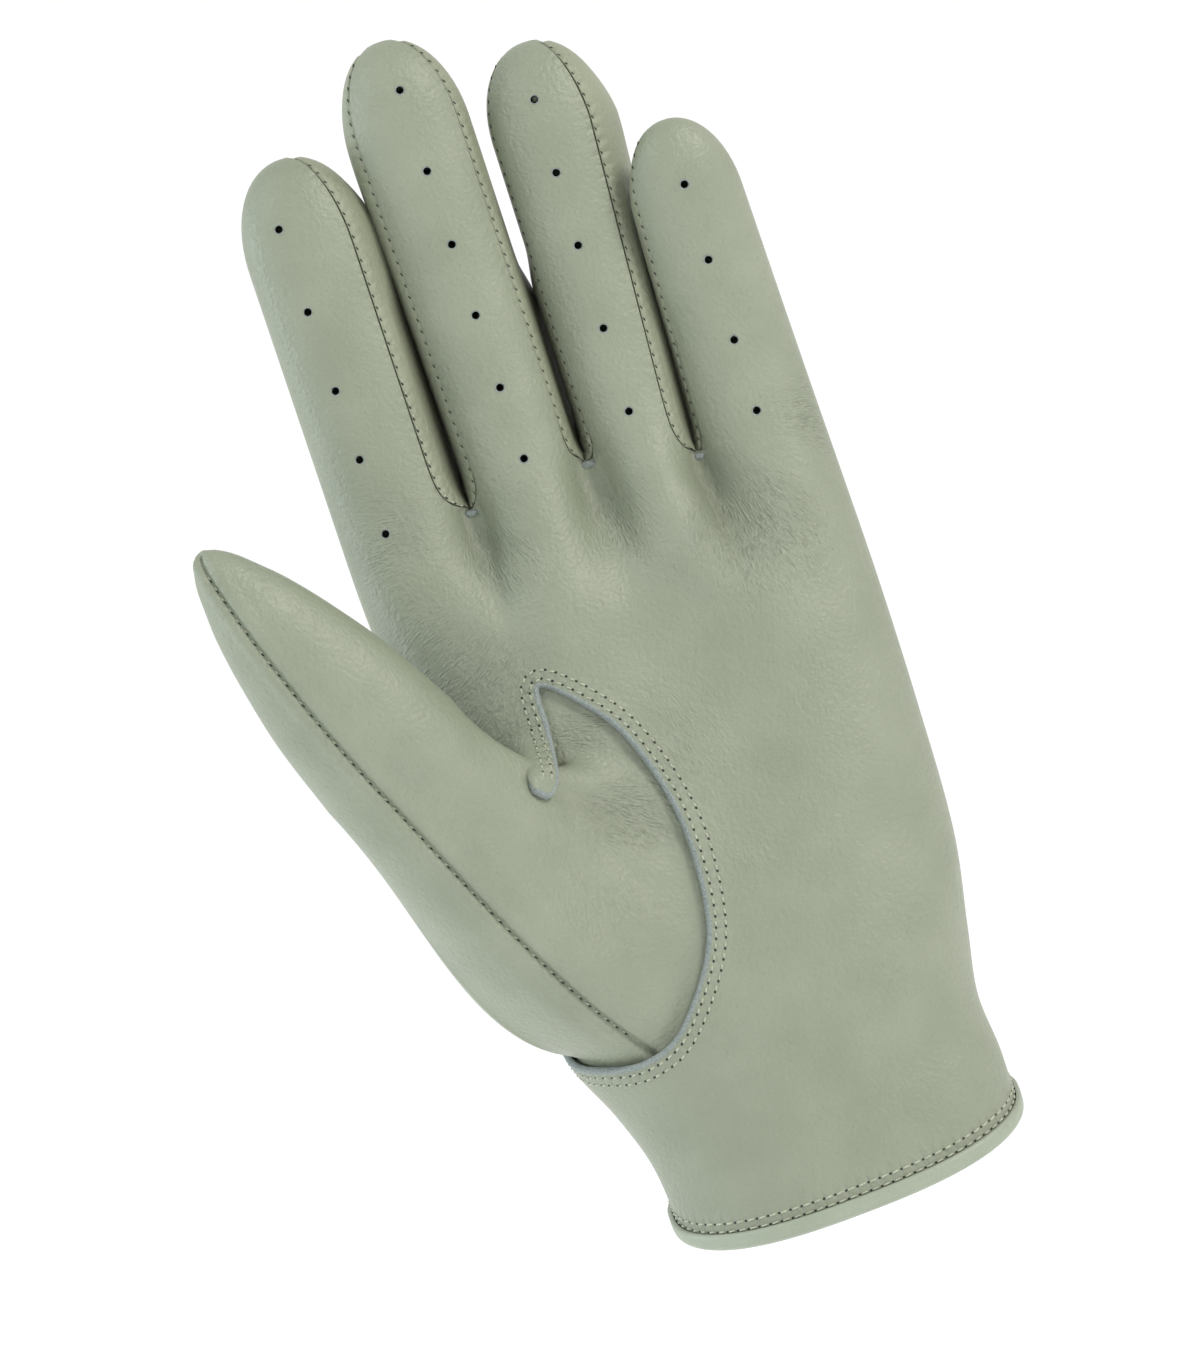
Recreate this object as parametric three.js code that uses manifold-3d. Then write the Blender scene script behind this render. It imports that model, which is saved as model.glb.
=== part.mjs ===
// A leather driving glove for the left hand, standing on its wrist opening with the palm towards -Y.
// Millimetres. X points to the little finger, Y to the back of the hand, Z up the hand.
// The origin is the centre of the wrist opening.
// The panels of the hand share one skin, worked out from sections and fingers, then cut apart at the seams.

import * as THREE from 'three';
import { mergeVertices } from 'three/addons/utils/BufferGeometryUtils.js';
import Module from 'manifold-3d';

const wasm = await Module();
wasm.setup();

// Driving dimensions
const LENGTH = 240;
const PALM_WIDTH = 95;
const WALL = 1.2;
const SEAM_GAP = 0.3;
const HOLE_DIAMETER = 1.9;
const THUMB_LENGTH = 125;
const THUMB_WIDTH = 36;
const THUMB_LEAN = 24.1;
const THUMB_FORWARD = 12;
const FLANGE_GAP = 0.8;
const BINDING_HEIGHT = 3.4;
const BINDING_WALL = 0.9;

// How finely the skin is divided
const FRONT_STEPS = 5;
const BACK_STEPS = 4;
const SIDE_STEPS = 4;
const HAND_ROWS = 12;
const FINGER_ROWS = [0.02, 0.06, 0.12, 0.22, 0.34, 0.47, 0.6, 0.72, 0.82, 0.9, 0.955, 0.987];
const FORK_END = 0.9;
const THUMB_COLUMNS = 24;

// Sections of the hand: at is a share of LENGTH, the others are shares of PALM_WIDTH
const HAND_SECTIONS = [
  { at: -0.03, left: -0.364, right: 0.354, front: 0.221, back: 0.205 },
  { at: 0.05, left: -0.375, right: 0.362, front: 0.221, back: 0.205 },
  { at: 0.1, left: -0.413, right: 0.355, front: 0.221, back: 0.205 },
  { at: 0.15, left: -0.468, right: 0.378, front: 0.232, back: 0.205 },
  { at: 0.229, left: -0.505, right: 0.416, front: 0.232, back: 0.2 },
  { at: 0.333, left: -0.528, right: 0.431, front: 0.216, back: 0.19 },
  { at: 0.4375, left: -0.547, right: 0.438, front: 0.19, back: 0.18 },
  { at: 0.521, left: -0.558, right: 0.438, front: 0.175, back: 0.17 },
  { at: 0.6, left: -0.563, right: 0.437, front: 0.158, back: 0.158 },
];
const HAND_SQUARENESS = 2.5;

// Fingers from the index on: heights are shares of LENGTH, the edges, depths and curl of PALM_WIDTH.
// seamLeft and seamRight are angles from the middle of the palm side of the finger.
const FINGERS = [
  {
    name: 'index', shoulder: 0.825, tip: 0.906, leftRoot: -0.563, rightRoot: -0.299,
    leftTop: -0.558, rightTop: -0.292, depthRoot: 0.121, depthTop: 0.101, curl: -0.07,
    seamLeft: 60, seamRight: 38,
  },
  {
    name: 'middle', shoulder: 0.892, tip: 0.968, leftRoot: -0.282, rightRoot: -0.048,
    leftTop: -0.287, rightTop: -0.037, depthRoot: 0.121, depthTop: 0.101, curl: -0.08,
    seamLeft: 58, seamRight: 54,
  },
  {
    name: 'ring', shoulder: 0.858, tip: 0.9325, leftRoot: -0.0295, rightRoot: 0.1725,
    leftTop: -0.0126, rightTop: 0.2385, depthRoot: 0.116, depthTop: 0.098, curl: -0.02,
    seamLeft: 72, seamRight: 36,
  },
  {
    name: 'little', shoulder: 0.767, tip: 0.835, leftRoot: 0.1825, rightRoot: 0.437,
    leftTop: 0.213, rightTop: 0.434, depthRoot: 0.108, depthTop: 0.09, curl: -0.145,
    seamLeft: 72, seamRight: 60,
  },
];
const FINGER_SQUARENESS = 2.3;
const TIP_SQUARENESS = 2.1;
const BACK_SEAM = 50;
const CURL_POWER = 1.4;

// Crotches between neighbouring fingers: x is a share of PALM_WIDTH, at of LENGTH,
// angle is the direction from the middle of the hand in which the valley below it runs
const CROTCHES = [
  { name: 'index_middle', x: -0.293, at: 0.595, angle: 23.5 },
  { name: 'middle_ring', x: -0.039, at: 0.6017, angle: -1.3 },
  { name: 'ring_little', x: 0.1755, at: 0.579, angle: -23.2 },
];
const CROTCH_FRONT = -0.047;
const CROTCH_BACK = 0.053;
const WEB_RISE = 0.008;
const CROTCH_ROUNDING = 0.0095;
const SIDE_CORNER = 60;
const SIDE_SEAM = 128;
const ROOT_BLEND = 0.125;
const VALLEY_BLEND = 0.15;
const VALLEY_SHARPNESS = 2.2;

// The hollow of the palm: depth and width as shares of PALM_WIDTH, the heights as shares of LENGTH
const HOLLOW = { x: 0.02, at: 0.4, depth: 0.042, width: 0.2, height: 0.13 };

// The rim of the wrist slopes down to the palm side: its height at the sides as a share of LENGTH,
// its slope from back to palm, how much of that is lost towards the back, and its slope across
const RIM_SIDE = 0.003;
const RIM_SLOPE = 0.38;
const RIM_EASE = 0.009;
const RIM_TILT = 0.03;

const radians = THREE.MathUtils.degToRad;
const lerp = THREE.MathUtils.lerp;
const smooth = (value, from, to) => THREE.MathUtils.smoothstep(value, from, to);

function signedPower(value, power) {
  return Math.sign(value) * Math.abs(value) ** power;
}

// A column of a table at a place between its rows, by a smooth curve through the rows
function along(rows, column, at) {
  const last = rows.length - 1;
  const slope = (i) => {
    const before = rows[Math.max(i - 1, 0)];
    const after = rows[Math.min(i + 1, last)];
    return (after[column] - before[column]) / (after.at - before.at);
  };
  if (at <= rows[0].at) return rows[0][column];
  if (at >= rows[last].at) return rows[last][column];
  const i = rows.findIndex((row) => row.at > at) - 1;
  const width = rows[i + 1].at - rows[i].at;
  const t = (at - rows[i].at) / width;
  const startShare = 1 + t * t * (2 * t - 3);
  const endShare = t * t * (3 - 2 * t);
  const startSlope = t * (1 - t) * (1 - t) * width;
  const endSlope = t * t * (t - 1) * width;
  return rows[i][column] * startShare + rows[i + 1][column] * endShare
    + slope(i) * startSlope + slope(i + 1) * endSlope;
}

// A point of the hand's outer skin: the angle is 0 in the middle of the palm, 90 at the little finger's
// side, 180 on the back and -90 at the thumb's side
function handPoint(angle, z) {
  const at = z / LENGTH;
  const left = along(HAND_SECTIONS, 'left', at) * PALM_WIDTH;
  const right = along(HAND_SECTIONS, 'right', at) * PALM_WIDTH;
  const sine = Math.sin(radians(angle));
  const cosine = Math.cos(radians(angle));
  const depth = along(HAND_SECTIONS, cosine > 0 ? 'front' : 'back', at) * PALM_WIDTH;
  const power = 2 / HAND_SQUARENESS;
  const x = (left + right) / 2 + (right - left) / 2 * signedPower(sine, power);
  let y = -depth * signedPower(cosine, power);
  if (cosine > 0) {
    const across = (x / PALM_WIDTH - HOLLOW.x) / HOLLOW.width;
    const up = (at - HOLLOW.at) / HOLLOW.height;
    y += HOLLOW.depth * PALM_WIDTH * Math.exp(-across * across - up * up);
  }
  return new THREE.Vector3(x, y, z);
}

// The direction straight out of the hand's skin
function handNormal(angle, z) {
  const step = 0.5;
  const round = handPoint(angle + step, z).sub(handPoint(angle - step, z));
  const up = handPoint(angle, z + step).sub(handPoint(angle, z - step));
  return round.cross(up).normalize();
}

// A point of a finger's outer skin at a height, by the angle round the finger
function fingerPoint(finger, root, angle, z) {
  const at = z / LENGTH;
  const share = Math.max((at - root) / (finger.shoulder - root), -0.5);
  const left = lerp(finger.leftRoot, finger.leftTop, Math.min(share, 1)) * PALM_WIDTH;
  const right = lerp(finger.rightRoot, finger.rightTop, Math.min(share, 1)) * PALM_WIDTH;
  const depth = lerp(finger.depthRoot, finger.depthTop, Math.min(share, 1)) * PALM_WIDTH;
  const dome = THREE.MathUtils.clamp((at - finger.shoulder) / (finger.tip - finger.shoulder), 0, 1);
  const closing = (1 - dome ** TIP_SQUARENESS) ** (1 / TIP_SQUARENESS);
  const rise = Math.max((at - root) / (finger.tip - root), 0);
  const power = 2 / FINGER_SQUARENESS;
  const sine = signedPower(Math.sin(radians(angle)), power);
  const cosine = signedPower(Math.cos(radians(angle)), power);
  const x = (left + right) / 2 + (right - left) / 2 * closing * sine;
  const y = finger.curl * PALM_WIDTH * rise ** CURL_POWER - depth * closing * cosine;
  return new THREE.Vector3(x, y, z);
}

function rimHeight(angle) {
  const { x, y } = handPoint(angle, 0);
  return RIM_SIDE * LENGTH + RIM_SLOPE * y - RIM_EASE * Math.max(y, 0) ** 2 + RIM_TILT * x;
}

// The front or back end of a crotch
function crotchPoint(crotch, y) {
  return new THREE.Vector3(crotch.x * PALM_WIDTH, y * PALM_WIDTH, crotch.at * LENGTH);
}

// The columns round the hand, from the back seam at the thumb's side by way of the palm and the little
// finger's side to the back and round to the start again. Each column leads up into one or two fingers.
function handColumns() {
  const columns = [];
  const add = (angle, root, fingerAngle, finger, crotch) => {
    columns.push({ angle, root, fingerAngle, finger, crotch });
  };
  const rootAt = (i) => CROTCHES[THREE.MathUtils.clamp(i, 0, CROTCHES.length - 1)].at;
  for (let k = 0; k < SIDE_STEPS; k += 1) {
    const t = k / SIDE_STEPS;
    const corner = lerp(-SIDE_SEAM, -SIDE_CORNER, t);
    add(corner, rootAt(0), lerp(-180 + BACK_SEAM, -FINGERS[0].seamLeft, t), 0, null);
  }
  FINGERS.forEach((finger, i) => {
    const start = i === 0 ? -SIDE_CORNER : -CROTCHES[i - 1].angle;
    const end = i === FINGERS.length - 1 ? SIDE_CORNER : -CROTCHES[i].angle;
    for (let k = 0; k < FRONT_STEPS; k += 1) {
      const t = k / FRONT_STEPS;
      const crotch = k === 0 && i > 0 ? { ...CROTCHES[i - 1], y: CROTCH_FRONT } : null;
      const root = lerp(rootAt(i - 1), rootAt(i), t);
      add(lerp(start, end, t), root, lerp(-finger.seamLeft, finger.seamRight, t), i, crotch);
    }
  });
  const little = FINGERS.length - 1;
  for (let k = 0; k < SIDE_STEPS; k += 1) {
    const t = k / SIDE_STEPS;
    const angle = lerp(SIDE_CORNER, SIDE_SEAM, t);
    add(angle, rootAt(little), lerp(FINGERS[little].seamRight, 180 - BACK_SEAM, t), little, null);
  }
  for (let i = little; i >= 0; i -= 1) {
    const start = i === little ? SIDE_SEAM : 180 + CROTCHES[i].angle;
    const end = i === 0 ? 360 - SIDE_SEAM : 180 + CROTCHES[i - 1].angle;
    for (let k = 0; k < BACK_STEPS; k += 1) {
      const t = k / BACK_STEPS;
      const crotch = k === 0 && i < little ? { ...CROTCHES[i], y: CROTCH_BACK } : null;
      const root = lerp(rootAt(i), rootAt(i - 1), t);
      add(lerp(start, end, t), root, lerp(180 - BACK_SEAM, 180 + BACK_SEAM, t), i, crotch);
    }
  }
  return columns;
}

// A point of a hand column, where the hand's section gives way to the fingers or to a valley
function columnPoint(column, z) {
  const hand = handPoint(column.angle, z);
  const below = column.root - z / LENGTH;
  if (column.crotch) {
    const share = Math.max(1 - below / VALLEY_BLEND, 0) ** VALLEY_SHARPNESS;
    const bottom = crotchPoint(column.crotch, column.crotch.y);
    bottom.z = z;
    return hand.lerp(bottom, share);
  }
  const finger = fingerPoint(FINGERS[column.finger], column.root, column.fingerAngle, z);
  return hand.lerp(finger, smooth(1 - below / ROOT_BLEND, 0, 1));
}

// The skin: points, and quads that each belong to a panel
function buildSkin() {
  const points = [];
  const quads = [];
  const addPoint = (point) => points.push(point) - 1;
  const columns = handColumns();
  const count = columns.length;
  const frontEnd = SIDE_STEPS * 2 + FRONT_STEPS * FINGERS.length;
  const grid = columns.map((column) => {
    const bottom = rimHeight(column.angle) + BINDING_WALL + SEAM_GAP;
    const ids = [];
    for (let row = 0; row <= HAND_ROWS; row += 1) {
      const share = 1 - (1 - row / HAND_ROWS) ** 1.15;
      ids.push(addPoint(columnPoint(column, lerp(bottom, column.root * LENGTH, share))));
    }
    return ids;
  });
  for (let c = 0; c < count; c += 1) {
    const next = grid[(c + 1) % count];
    for (let row = 0; row < HAND_ROWS; row += 1) {
      const corners = [grid[c][row], next[row], next[row + 1], grid[c][row + 1]];
      quads.push({ corners, panel: c < frontEnd ? 'palm' : 'back' });
    }
  }

  // The bottom of the gap between two fingers, from the palm to the back
  const webs = CROTCHES.map((crotch) => {
    const ids = [];
    for (let k = 1; k < SIDE_STEPS; k += 1) {
      const t = k / SIDE_STEPS;
      const point = crotchPoint(crotch, lerp(CROTCH_FRONT, CROTCH_BACK, t));
      point.z += WEB_RISE * LENGTH * Math.sin(Math.PI * t);
      ids.push(addPoint(point));
    }
    return ids;
  });

  // The loop of points at a finger's root, with the angle of each round the finger
  const top = (c) => grid[(c + count) % count][HAND_ROWS];
  FINGERS.forEach((finger, i) => {
    const loop = [];
    const frontStart = SIDE_STEPS + FRONT_STEPS * i;
    const backStart = frontEnd + BACK_STEPS * (FINGERS.length - 1 - i);
    const rightPanel = i < CROTCHES.length ? `fourchette_${CROTCHES[i].name}` : 'palm';
    const leftPanel = i > 0 ? `fourchette_${CROTCHES[i - 1].name}` : 'palm';
    for (let k = 0; k < FRONT_STEPS; k += 1) {
      const angle = lerp(-finger.seamLeft, finger.seamRight, k / FRONT_STEPS);
      loop.push({ id: top(frontStart + k), angle, panel: 'palm' });
    }
    for (let k = 0; k < SIDE_STEPS; k += 1) {
      const angle = lerp(finger.seamRight, 180 - BACK_SEAM, k / SIDE_STEPS);
      const web = k > 0 && i < CROTCHES.length;
      loop.push({ id: web ? webs[i][k - 1] : top(frontStart + FRONT_STEPS + k), angle, panel: rightPanel });
    }
    for (let k = 0; k < BACK_STEPS; k += 1) {
      const angle = lerp(180 - BACK_SEAM, 180 + BACK_SEAM, k / BACK_STEPS);
      loop.push({ id: top(backStart + k), angle, panel: 'back' });
    }
    for (let k = 0; k < SIDE_STEPS; k += 1) {
      const angle = lerp(180 + BACK_SEAM, 360 - finger.seamLeft, k / SIDE_STEPS);
      const web = k > 0 && i > 0;
      const id = web ? webs[i - 1][SIDE_STEPS - 1 - k] : top(backStart + BACK_STEPS + k);
      loop.push({ id, angle, panel: leftPanel });
    }
    const root = CROTCHES[Math.min(i, CROTCHES.length - 1)].at;
    let lower = loop.map((entry) => entry.id);
    const bases = loop.map((entry) => points[entry.id]);
    const offsets = loop.map((entry, j) => {
      return bases[j].clone().sub(fingerPoint(finger, root, entry.angle, bases[j].z));
    });
    let below = 0;
    FINGER_ROWS.forEach((share) => {
      const upper = loop.map((entry, j) => {
        const z = lerp(bases[j].z, finger.tip * LENGTH, share);
        const fading = Math.exp(-(z - bases[j].z) / (CROTCH_ROUNDING * LENGTH));
        const point = fingerPoint(finger, root, entry.angle, z).addScaledVector(offsets[j], fading);
        return addPoint(point);
      });
      loop.forEach((entry, j) => {
        const n = (j + 1) % loop.length;
        const capped = below >= FORK_END && entry.panel.startsWith('fourchette');
        quads.push({ corners: [lower[j], lower[n], upper[n], upper[j]], panel: capped ? 'back' : entry.panel });
      });
      lower = upper;
      below = share;
    });
    const pole = addPoint(fingerPoint(finger, root, 0, finger.tip * LENGTH));
    loop.forEach((entry, j) => {
      const panel = entry.panel.startsWith('fourchette') ? 'back' : entry.panel;
      quads.push({ corners: [lower[j], lower[(j + 1) % loop.length], pole], panel });
    });
  });
  return { points, quads };
}

// Triangles of a quad, along its shorter diagonal
function split(points, corners) {
  if (corners.length === 3) return [corners];
  const [a, b, c, d] = corners;
  const short = points[a].distanceTo(points[c]) <= points[b].distanceTo(points[d]);
  return short ? [[a, b, c], [a, c, d]] : [[a, b, d], [b, c, d]];
}

function faceNormal(points, [a, b, c]) {
  const first = points[b].clone().sub(points[a]);
  return first.cross(points[c].clone().sub(points[a]));
}

function pointNormals(points, triangles) {
  const normals = points.map(() => new THREE.Vector3());
  triangles.forEach((triangle) => {
    const normal = faceNormal(points, triangle);
    triangle.forEach((id) => normals[id].add(normal));
  });
  return normals.map((normal) => normal.normalize());
}

// Edges that only one triangle uses, each with the direction along the surface into the sheet
function borderEdges(points, triangles) {
  const edges = new Map();
  triangles.forEach((triangle) => {
    triangle.forEach((from, k) => {
      const to = triangle[(k + 1) % 3];
      const twin = `${to},${from}`;
      if (edges.has(twin)) {
        edges.delete(twin);
      } else {
        const inward = faceNormal(points, triangle).cross(points[to].clone().sub(points[from]));
        edges.set(`${from},${to}`, { from, to, inward: inward.normalize() });
      }
    });
  });
  return [...edges.values()];
}

// A sheet of triangles made into leather: trimmed along its border, then given its thickness inwards
function leather(points, triangles, normals, trim) {
  const edges = borderEdges(points, triangles);
  const pulls = new Map();
  edges.forEach(({ from, to, inward }) => {
    [from, to].forEach((id) => {
      pulls.set(id, [...(pulls.get(id) ?? []), inward]);
    });
  });
  const outer = new Map();
  const positions = [];
  triangles.flat().forEach((id) => {
    if (outer.has(id)) return;
    outer.set(id, outer.size);
    const point = points[id].clone();
    if (pulls.has(id)) {
      const [first, second] = pulls.get(id);
      const reach = trim / Math.max(1 + first.dot(second), 0.4);
      point.addScaledVector(first.clone().add(second), reach);
    }
    positions.push(point, point.clone().addScaledVector(normals[id], -WALL));
  });
  const faces = [];
  const outside = (id) => outer.get(id) * 2;
  const inside = (id) => outer.get(id) * 2 + 1;
  triangles.forEach(([a, b, c]) => {
    faces.push([outside(a), outside(b), outside(c)], [inside(a), inside(c), inside(b)]);
  });
  edges.forEach(({ from, to }) => {
    faces.push([outside(to), outside(from), inside(from)], [outside(to), inside(from), inside(to)]);
  });
  return geometryOf(positions, faces);
}

function geometryOf(positions, faces) {
  const geometry = new THREE.BufferGeometry();
  const numbers = positions.flatMap((point) => [point.x, point.y, point.z]);
  geometry.setAttribute('position', new THREE.Float32BufferAttribute(numbers, 3));
  geometry.setIndex(faces.flat());
  return geometry;
}

// The same geometry, turned right side out if its faces point in
function facingOut(geometry) {
  const position = geometry.getAttribute('position');
  const index = geometry.getIndex().array;
  const corner = (k) => new THREE.Vector3().fromBufferAttribute(position, index[k]);
  let volume = 0;
  for (let k = 0; k < index.length; k += 3) volume += corner(k).dot(corner(k + 1).cross(corner(k + 2)));
  if (volume > 0) return geometry;
  for (let k = 0; k < index.length; k += 3) {
    const kept = index[k];
    index[k] = index[k + 1];
    index[k + 1] = kept;
  }
  return geometry;
}

function solidOf(geometry) {
  const bare = geometry.clone();
  bare.deleteAttribute('normal');
  bare.deleteAttribute('uv');
  const merged = mergeVertices(bare, 1e-4);
  return new wasm.Manifold(new wasm.Mesh({
    numProp: 3,
    vertProperties: new Float32Array(merged.attributes.position.array),
    triVerts: new Uint32Array(merged.index.array),
  }));
}

function geometryFromSolid(solid) {
  const mesh = solid.getMesh();
  const geometry = new THREE.BufferGeometry();
  geometry.setAttribute('position', new THREE.Float32BufferAttribute([...mesh.vertProperties], 3));
  geometry.setIndex([...mesh.triVerts]);
  return geometry;
}

// The cut edge of the palm round the thumb, from the peak of its notch down the tongue, behind the thumb
// and up the palm again: angle round the hand and height as a share of LENGTH
const OPENING = [
  { angle: -22.2, at: 0.4454 },
  { angle: -24, at: 0.41 },
  { angle: -25.6, at: 0.373 },
  { angle: -29.5, at: 0.3615 },
  { angle: -34, at: 0.372 },
  { angle: -50, at: 0.4 },
  { angle: -80, at: 0.405 },
  { angle: -104, at: 0.385 },
  { angle: -112, at: 0.32 },
  { angle: -111, at: 0.24 },
  { angle: -103, at: 0.18 },
  { angle: -89, at: 0.156 },
  { angle: -60, at: 0.14 },
  { angle: -37, at: 0.1355 },
  { angle: -21, at: 0.151 },
  { angle: -7.1, at: 0.2037 },
  { angle: -3.1, at: 0.28 },
  { angle: -4.5, at: 0.3521 },
  { angle: -9.8, at: 0.4058 },
];
const OPENING_STEPS = 72;

function openingOutline() {
  const rows = [...OPENING, OPENING[0]];
  const bends = rows.map((row) => new THREE.Vector3(row.angle, row.at * LENGTH, 0));
  const curve = new THREE.CatmullRomCurve3(bends, false, 'centripetal');
  return curve.getPoints(OPENING_STEPS).slice(0, -1).map((point) => ({ angle: point.x, z: point.y }));
}

// A closed block over the opening: its outline carried out from the hand's skin and in through the wall
function openingCutter() {
  const outside = 45;
  const inside = -6;
  const outline = openingOutline();
  const fills = THREE.ShapeUtils.triangulateShape(outline.map((p) => new THREE.Vector2(p.angle, p.z)), []);
  const positions = outline.flatMap(({ angle, z }) => {
    const point = handPoint(angle, z);
    const normal = handNormal(angle, z).setZ(0).normalize();
    return [point.clone().addScaledVector(normal, outside), point.clone().addScaledVector(normal, inside)];
  });
  const faces = [];
  fills.forEach(([a, b, c]) => faces.push([a * 2, b * 2, c * 2], [a * 2 + 1, c * 2 + 1, b * 2 + 1]));
  outline.forEach((point, i) => {
    const n = (i + 1) % outline.length;
    faces.push([n * 2, i * 2, i * 2 + 1], [n * 2, i * 2 + 1, n * 2 + 1]);
  });
  return solidOf(facingOut(geometryOf(positions, faces)));
}

// The thumb's sections from its tip: at is a share of THUMB_LENGTH, the half width and half depth are
// shares of THUMB_WIDTH
const THUMB_SECTIONS = [
  { at: 0.01, width: 0.075, depth: 0.06 },
  { at: 0.034, width: 0.132, depth: 0.12 },
  { at: 0.07, width: 0.187, depth: 0.175 },
  { at: 0.115, width: 0.247, depth: 0.22 },
  { at: 0.19, width: 0.318, depth: 0.265 },
  { at: 0.295, width: 0.392, depth: 0.31 },
  { at: 0.42, width: 0.436, depth: 0.34 },
];
const THUMB_TIP = new THREE.Vector3(-77.9, -38, 150.3);
const THUMB_SQUARENESS = 2.2;
const THUMB_ROOT_ROWS = 8;

// The thumb's root under the palm, one row for each direction round the thumb: the place of its border on
// the hand, how far it lies flat against the palm (mm), and how steeply the thumb comes down on it
const THUMB_ROOT = [
  { at: -60, angle: -58, height: 0.119, flat: 5.5, dive: 0.45 },
  { at: -40, angle: -46, height: 0.116, flat: 5.5, dive: 0.45 },
  { at: -24, angle: -36, height: 0.118, flat: 5.5, dive: 0.42 },
  { at: 0, angle: -17, height: 0.14, flat: 5.5, dive: 0.4 },
  { at: 20, angle: -2, height: 0.2, flat: 6, dive: 0.2 },
  { at: 40, angle: 1, height: 0.28, flat: 6, dive: 0.1 },
  { at: 55, angle: -0.5, height: 0.35, flat: 6, dive: 0 },
  { at: 68, angle: -5, height: 0.41, flat: 8, dive: 0 },
  { at: 80, angle: -15, height: 0.455, flat: 17, dive: 0 },
  { at: 92, angle: -27, height: 0.468, flat: 31, dive: 0 },
  { at: 105, angle: -38, height: 0.45, flat: 22, dive: 0 },
  { at: 120, angle: -54, height: 0.435, flat: 10, dive: 0.1 },
  { at: 140, angle: -80, height: 0.43, flat: 8, dive: 0.2 },
  { at: 160, angle: -106, height: 0.405, flat: 7, dive: 0.3 },
  { at: 180, angle: -119, height: 0.34, flat: 6, dive: 0.4 },
  { at: 205, angle: -119, height: 0.25, flat: 6, dive: 0.5 },
  { at: 230, angle: -113, height: 0.18, flat: 6, dive: 0.5 },
  { at: 250, angle: -98, height: 0.143, flat: 5.5, dive: 0.5 },
  { at: 275, angle: -78, height: 0.128, flat: 5.5, dive: 0.45 },
  { at: 300, angle: -58, height: 0.119, flat: 5.5, dive: 0.45 },
];
const ROOT_CENTRE = { angle: -40, height: 0.25 };

// The thumb's own directions: along it from the tip, across it towards the palm, and out of its front
function thumbDirections() {
  const lean = radians(THUMB_LEAN);
  const forward = radians(THUMB_FORWARD);
  const level = Math.cos(forward);
  const down = new THREE.Vector3(Math.sin(lean) * level, Math.sin(forward), -Math.cos(lean) * level);
  const across = new THREE.Vector3(Math.cos(lean), 0, Math.sin(lean));
  const front = across.clone().cross(down).normalize();
  if (front.y > 0) front.negate();
  return { down, across, front };
}

function thumbPoint(round, at) {
  const { down, across, front } = thumbDirections();
  const power = 2 / THUMB_SQUARENESS;
  const width = along(THUMB_SECTIONS, 'width', at) * THUMB_WIDTH;
  const depth = along(THUMB_SECTIONS, 'depth', at) * THUMB_WIDTH;
  return THUMB_TIP.clone()
    .addScaledVector(down, at * THUMB_LENGTH)
    .addScaledVector(across, width * signedPower(Math.sin(radians(round)), power))
    .addScaledVector(front, depth * signedPower(Math.cos(radians(round)), power));
}

// A point of the thumb's root that lies flat under the palm
function flangePoint(angle, z) {
  return handPoint(angle, z).addScaledVector(handNormal(angle, z), -WALL - FLANGE_GAP);
}

function thumbColumn(round) {
  const place = (column) => along(THUMB_ROOT, column, round);
  const height = place('height') * LENGTH;
  const centre = flangePoint(ROOT_CENTRE.angle, ROOT_CENTRE.height * LENGTH);
  const border = flangePoint(place('angle'), height);
  const share = place('flat') / border.distanceTo(centre);
  const flat = (t) => flangePoint(
    lerp(place('angle'), ROOT_CENTRE.angle, share * t),
    lerp(height, ROOT_CENTRE.height * LENGTH, share * t),
  );
  const column = [border, flat(0.5), flat(1)];
  const foot = column[2];
  const tubeEnd = THUMB_SECTIONS[THUMB_SECTIONS.length - 1].at;
  const start = thumbPoint(round, tubeEnd);
  const reach = start.distanceTo(foot);
  const inward = handNormal(lerp(place('angle'), ROOT_CENTRE.angle, share), foot.z).negate();
  const leaving = thumbDirections().down.multiplyScalar(reach);
  const landing = border.clone().sub(foot).normalize()
    .lerp(inward, place('dive')).normalize().multiplyScalar(reach);
  const root = [];
  for (let k = 1; k < THUMB_ROOT_ROWS; k += 1) {
    const t = 1 - k / THUMB_ROOT_ROWS;
    root.push(start.clone().multiplyScalar((1 + 2 * t) * (1 - t) * (1 - t))
      .addScaledVector(leaving, t * (1 - t) * (1 - t))
      .addScaledVector(foot, t * t * (3 - 2 * t))
      .addScaledVector(landing, t * t * (t - 1)));
  }
  const tube = THUMB_SECTIONS.map((section) => thumbPoint(round, section.at)).reverse();
  return [...column, ...root, ...tube];
}

function thumbGeometry() {
  const points = [];
  const grid = [];
  for (let c = 0; c < THUMB_COLUMNS; c += 1) {
    const round = -60 + 360 * c / THUMB_COLUMNS;
    grid.push(thumbColumn(round).map((point) => points.push(point) - 1));
  }
  const pole = points.push(THUMB_TIP.clone()) - 1;
  const triangles = [];
  grid.forEach((column, c) => {
    const next = grid[(c + 1) % THUMB_COLUMNS];
    for (let row = 0; row + 1 < column.length; row += 1) {
      triangles.push(...split(points, [column[row], next[row], next[row + 1], column[row + 1]]));
    }
    triangles.push([column[column.length - 1], next[column.length - 1], pole]);
  });
  const normals = pointNormals(points, triangles);
  return leather(points, triangles, normals, 0);
}

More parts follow.
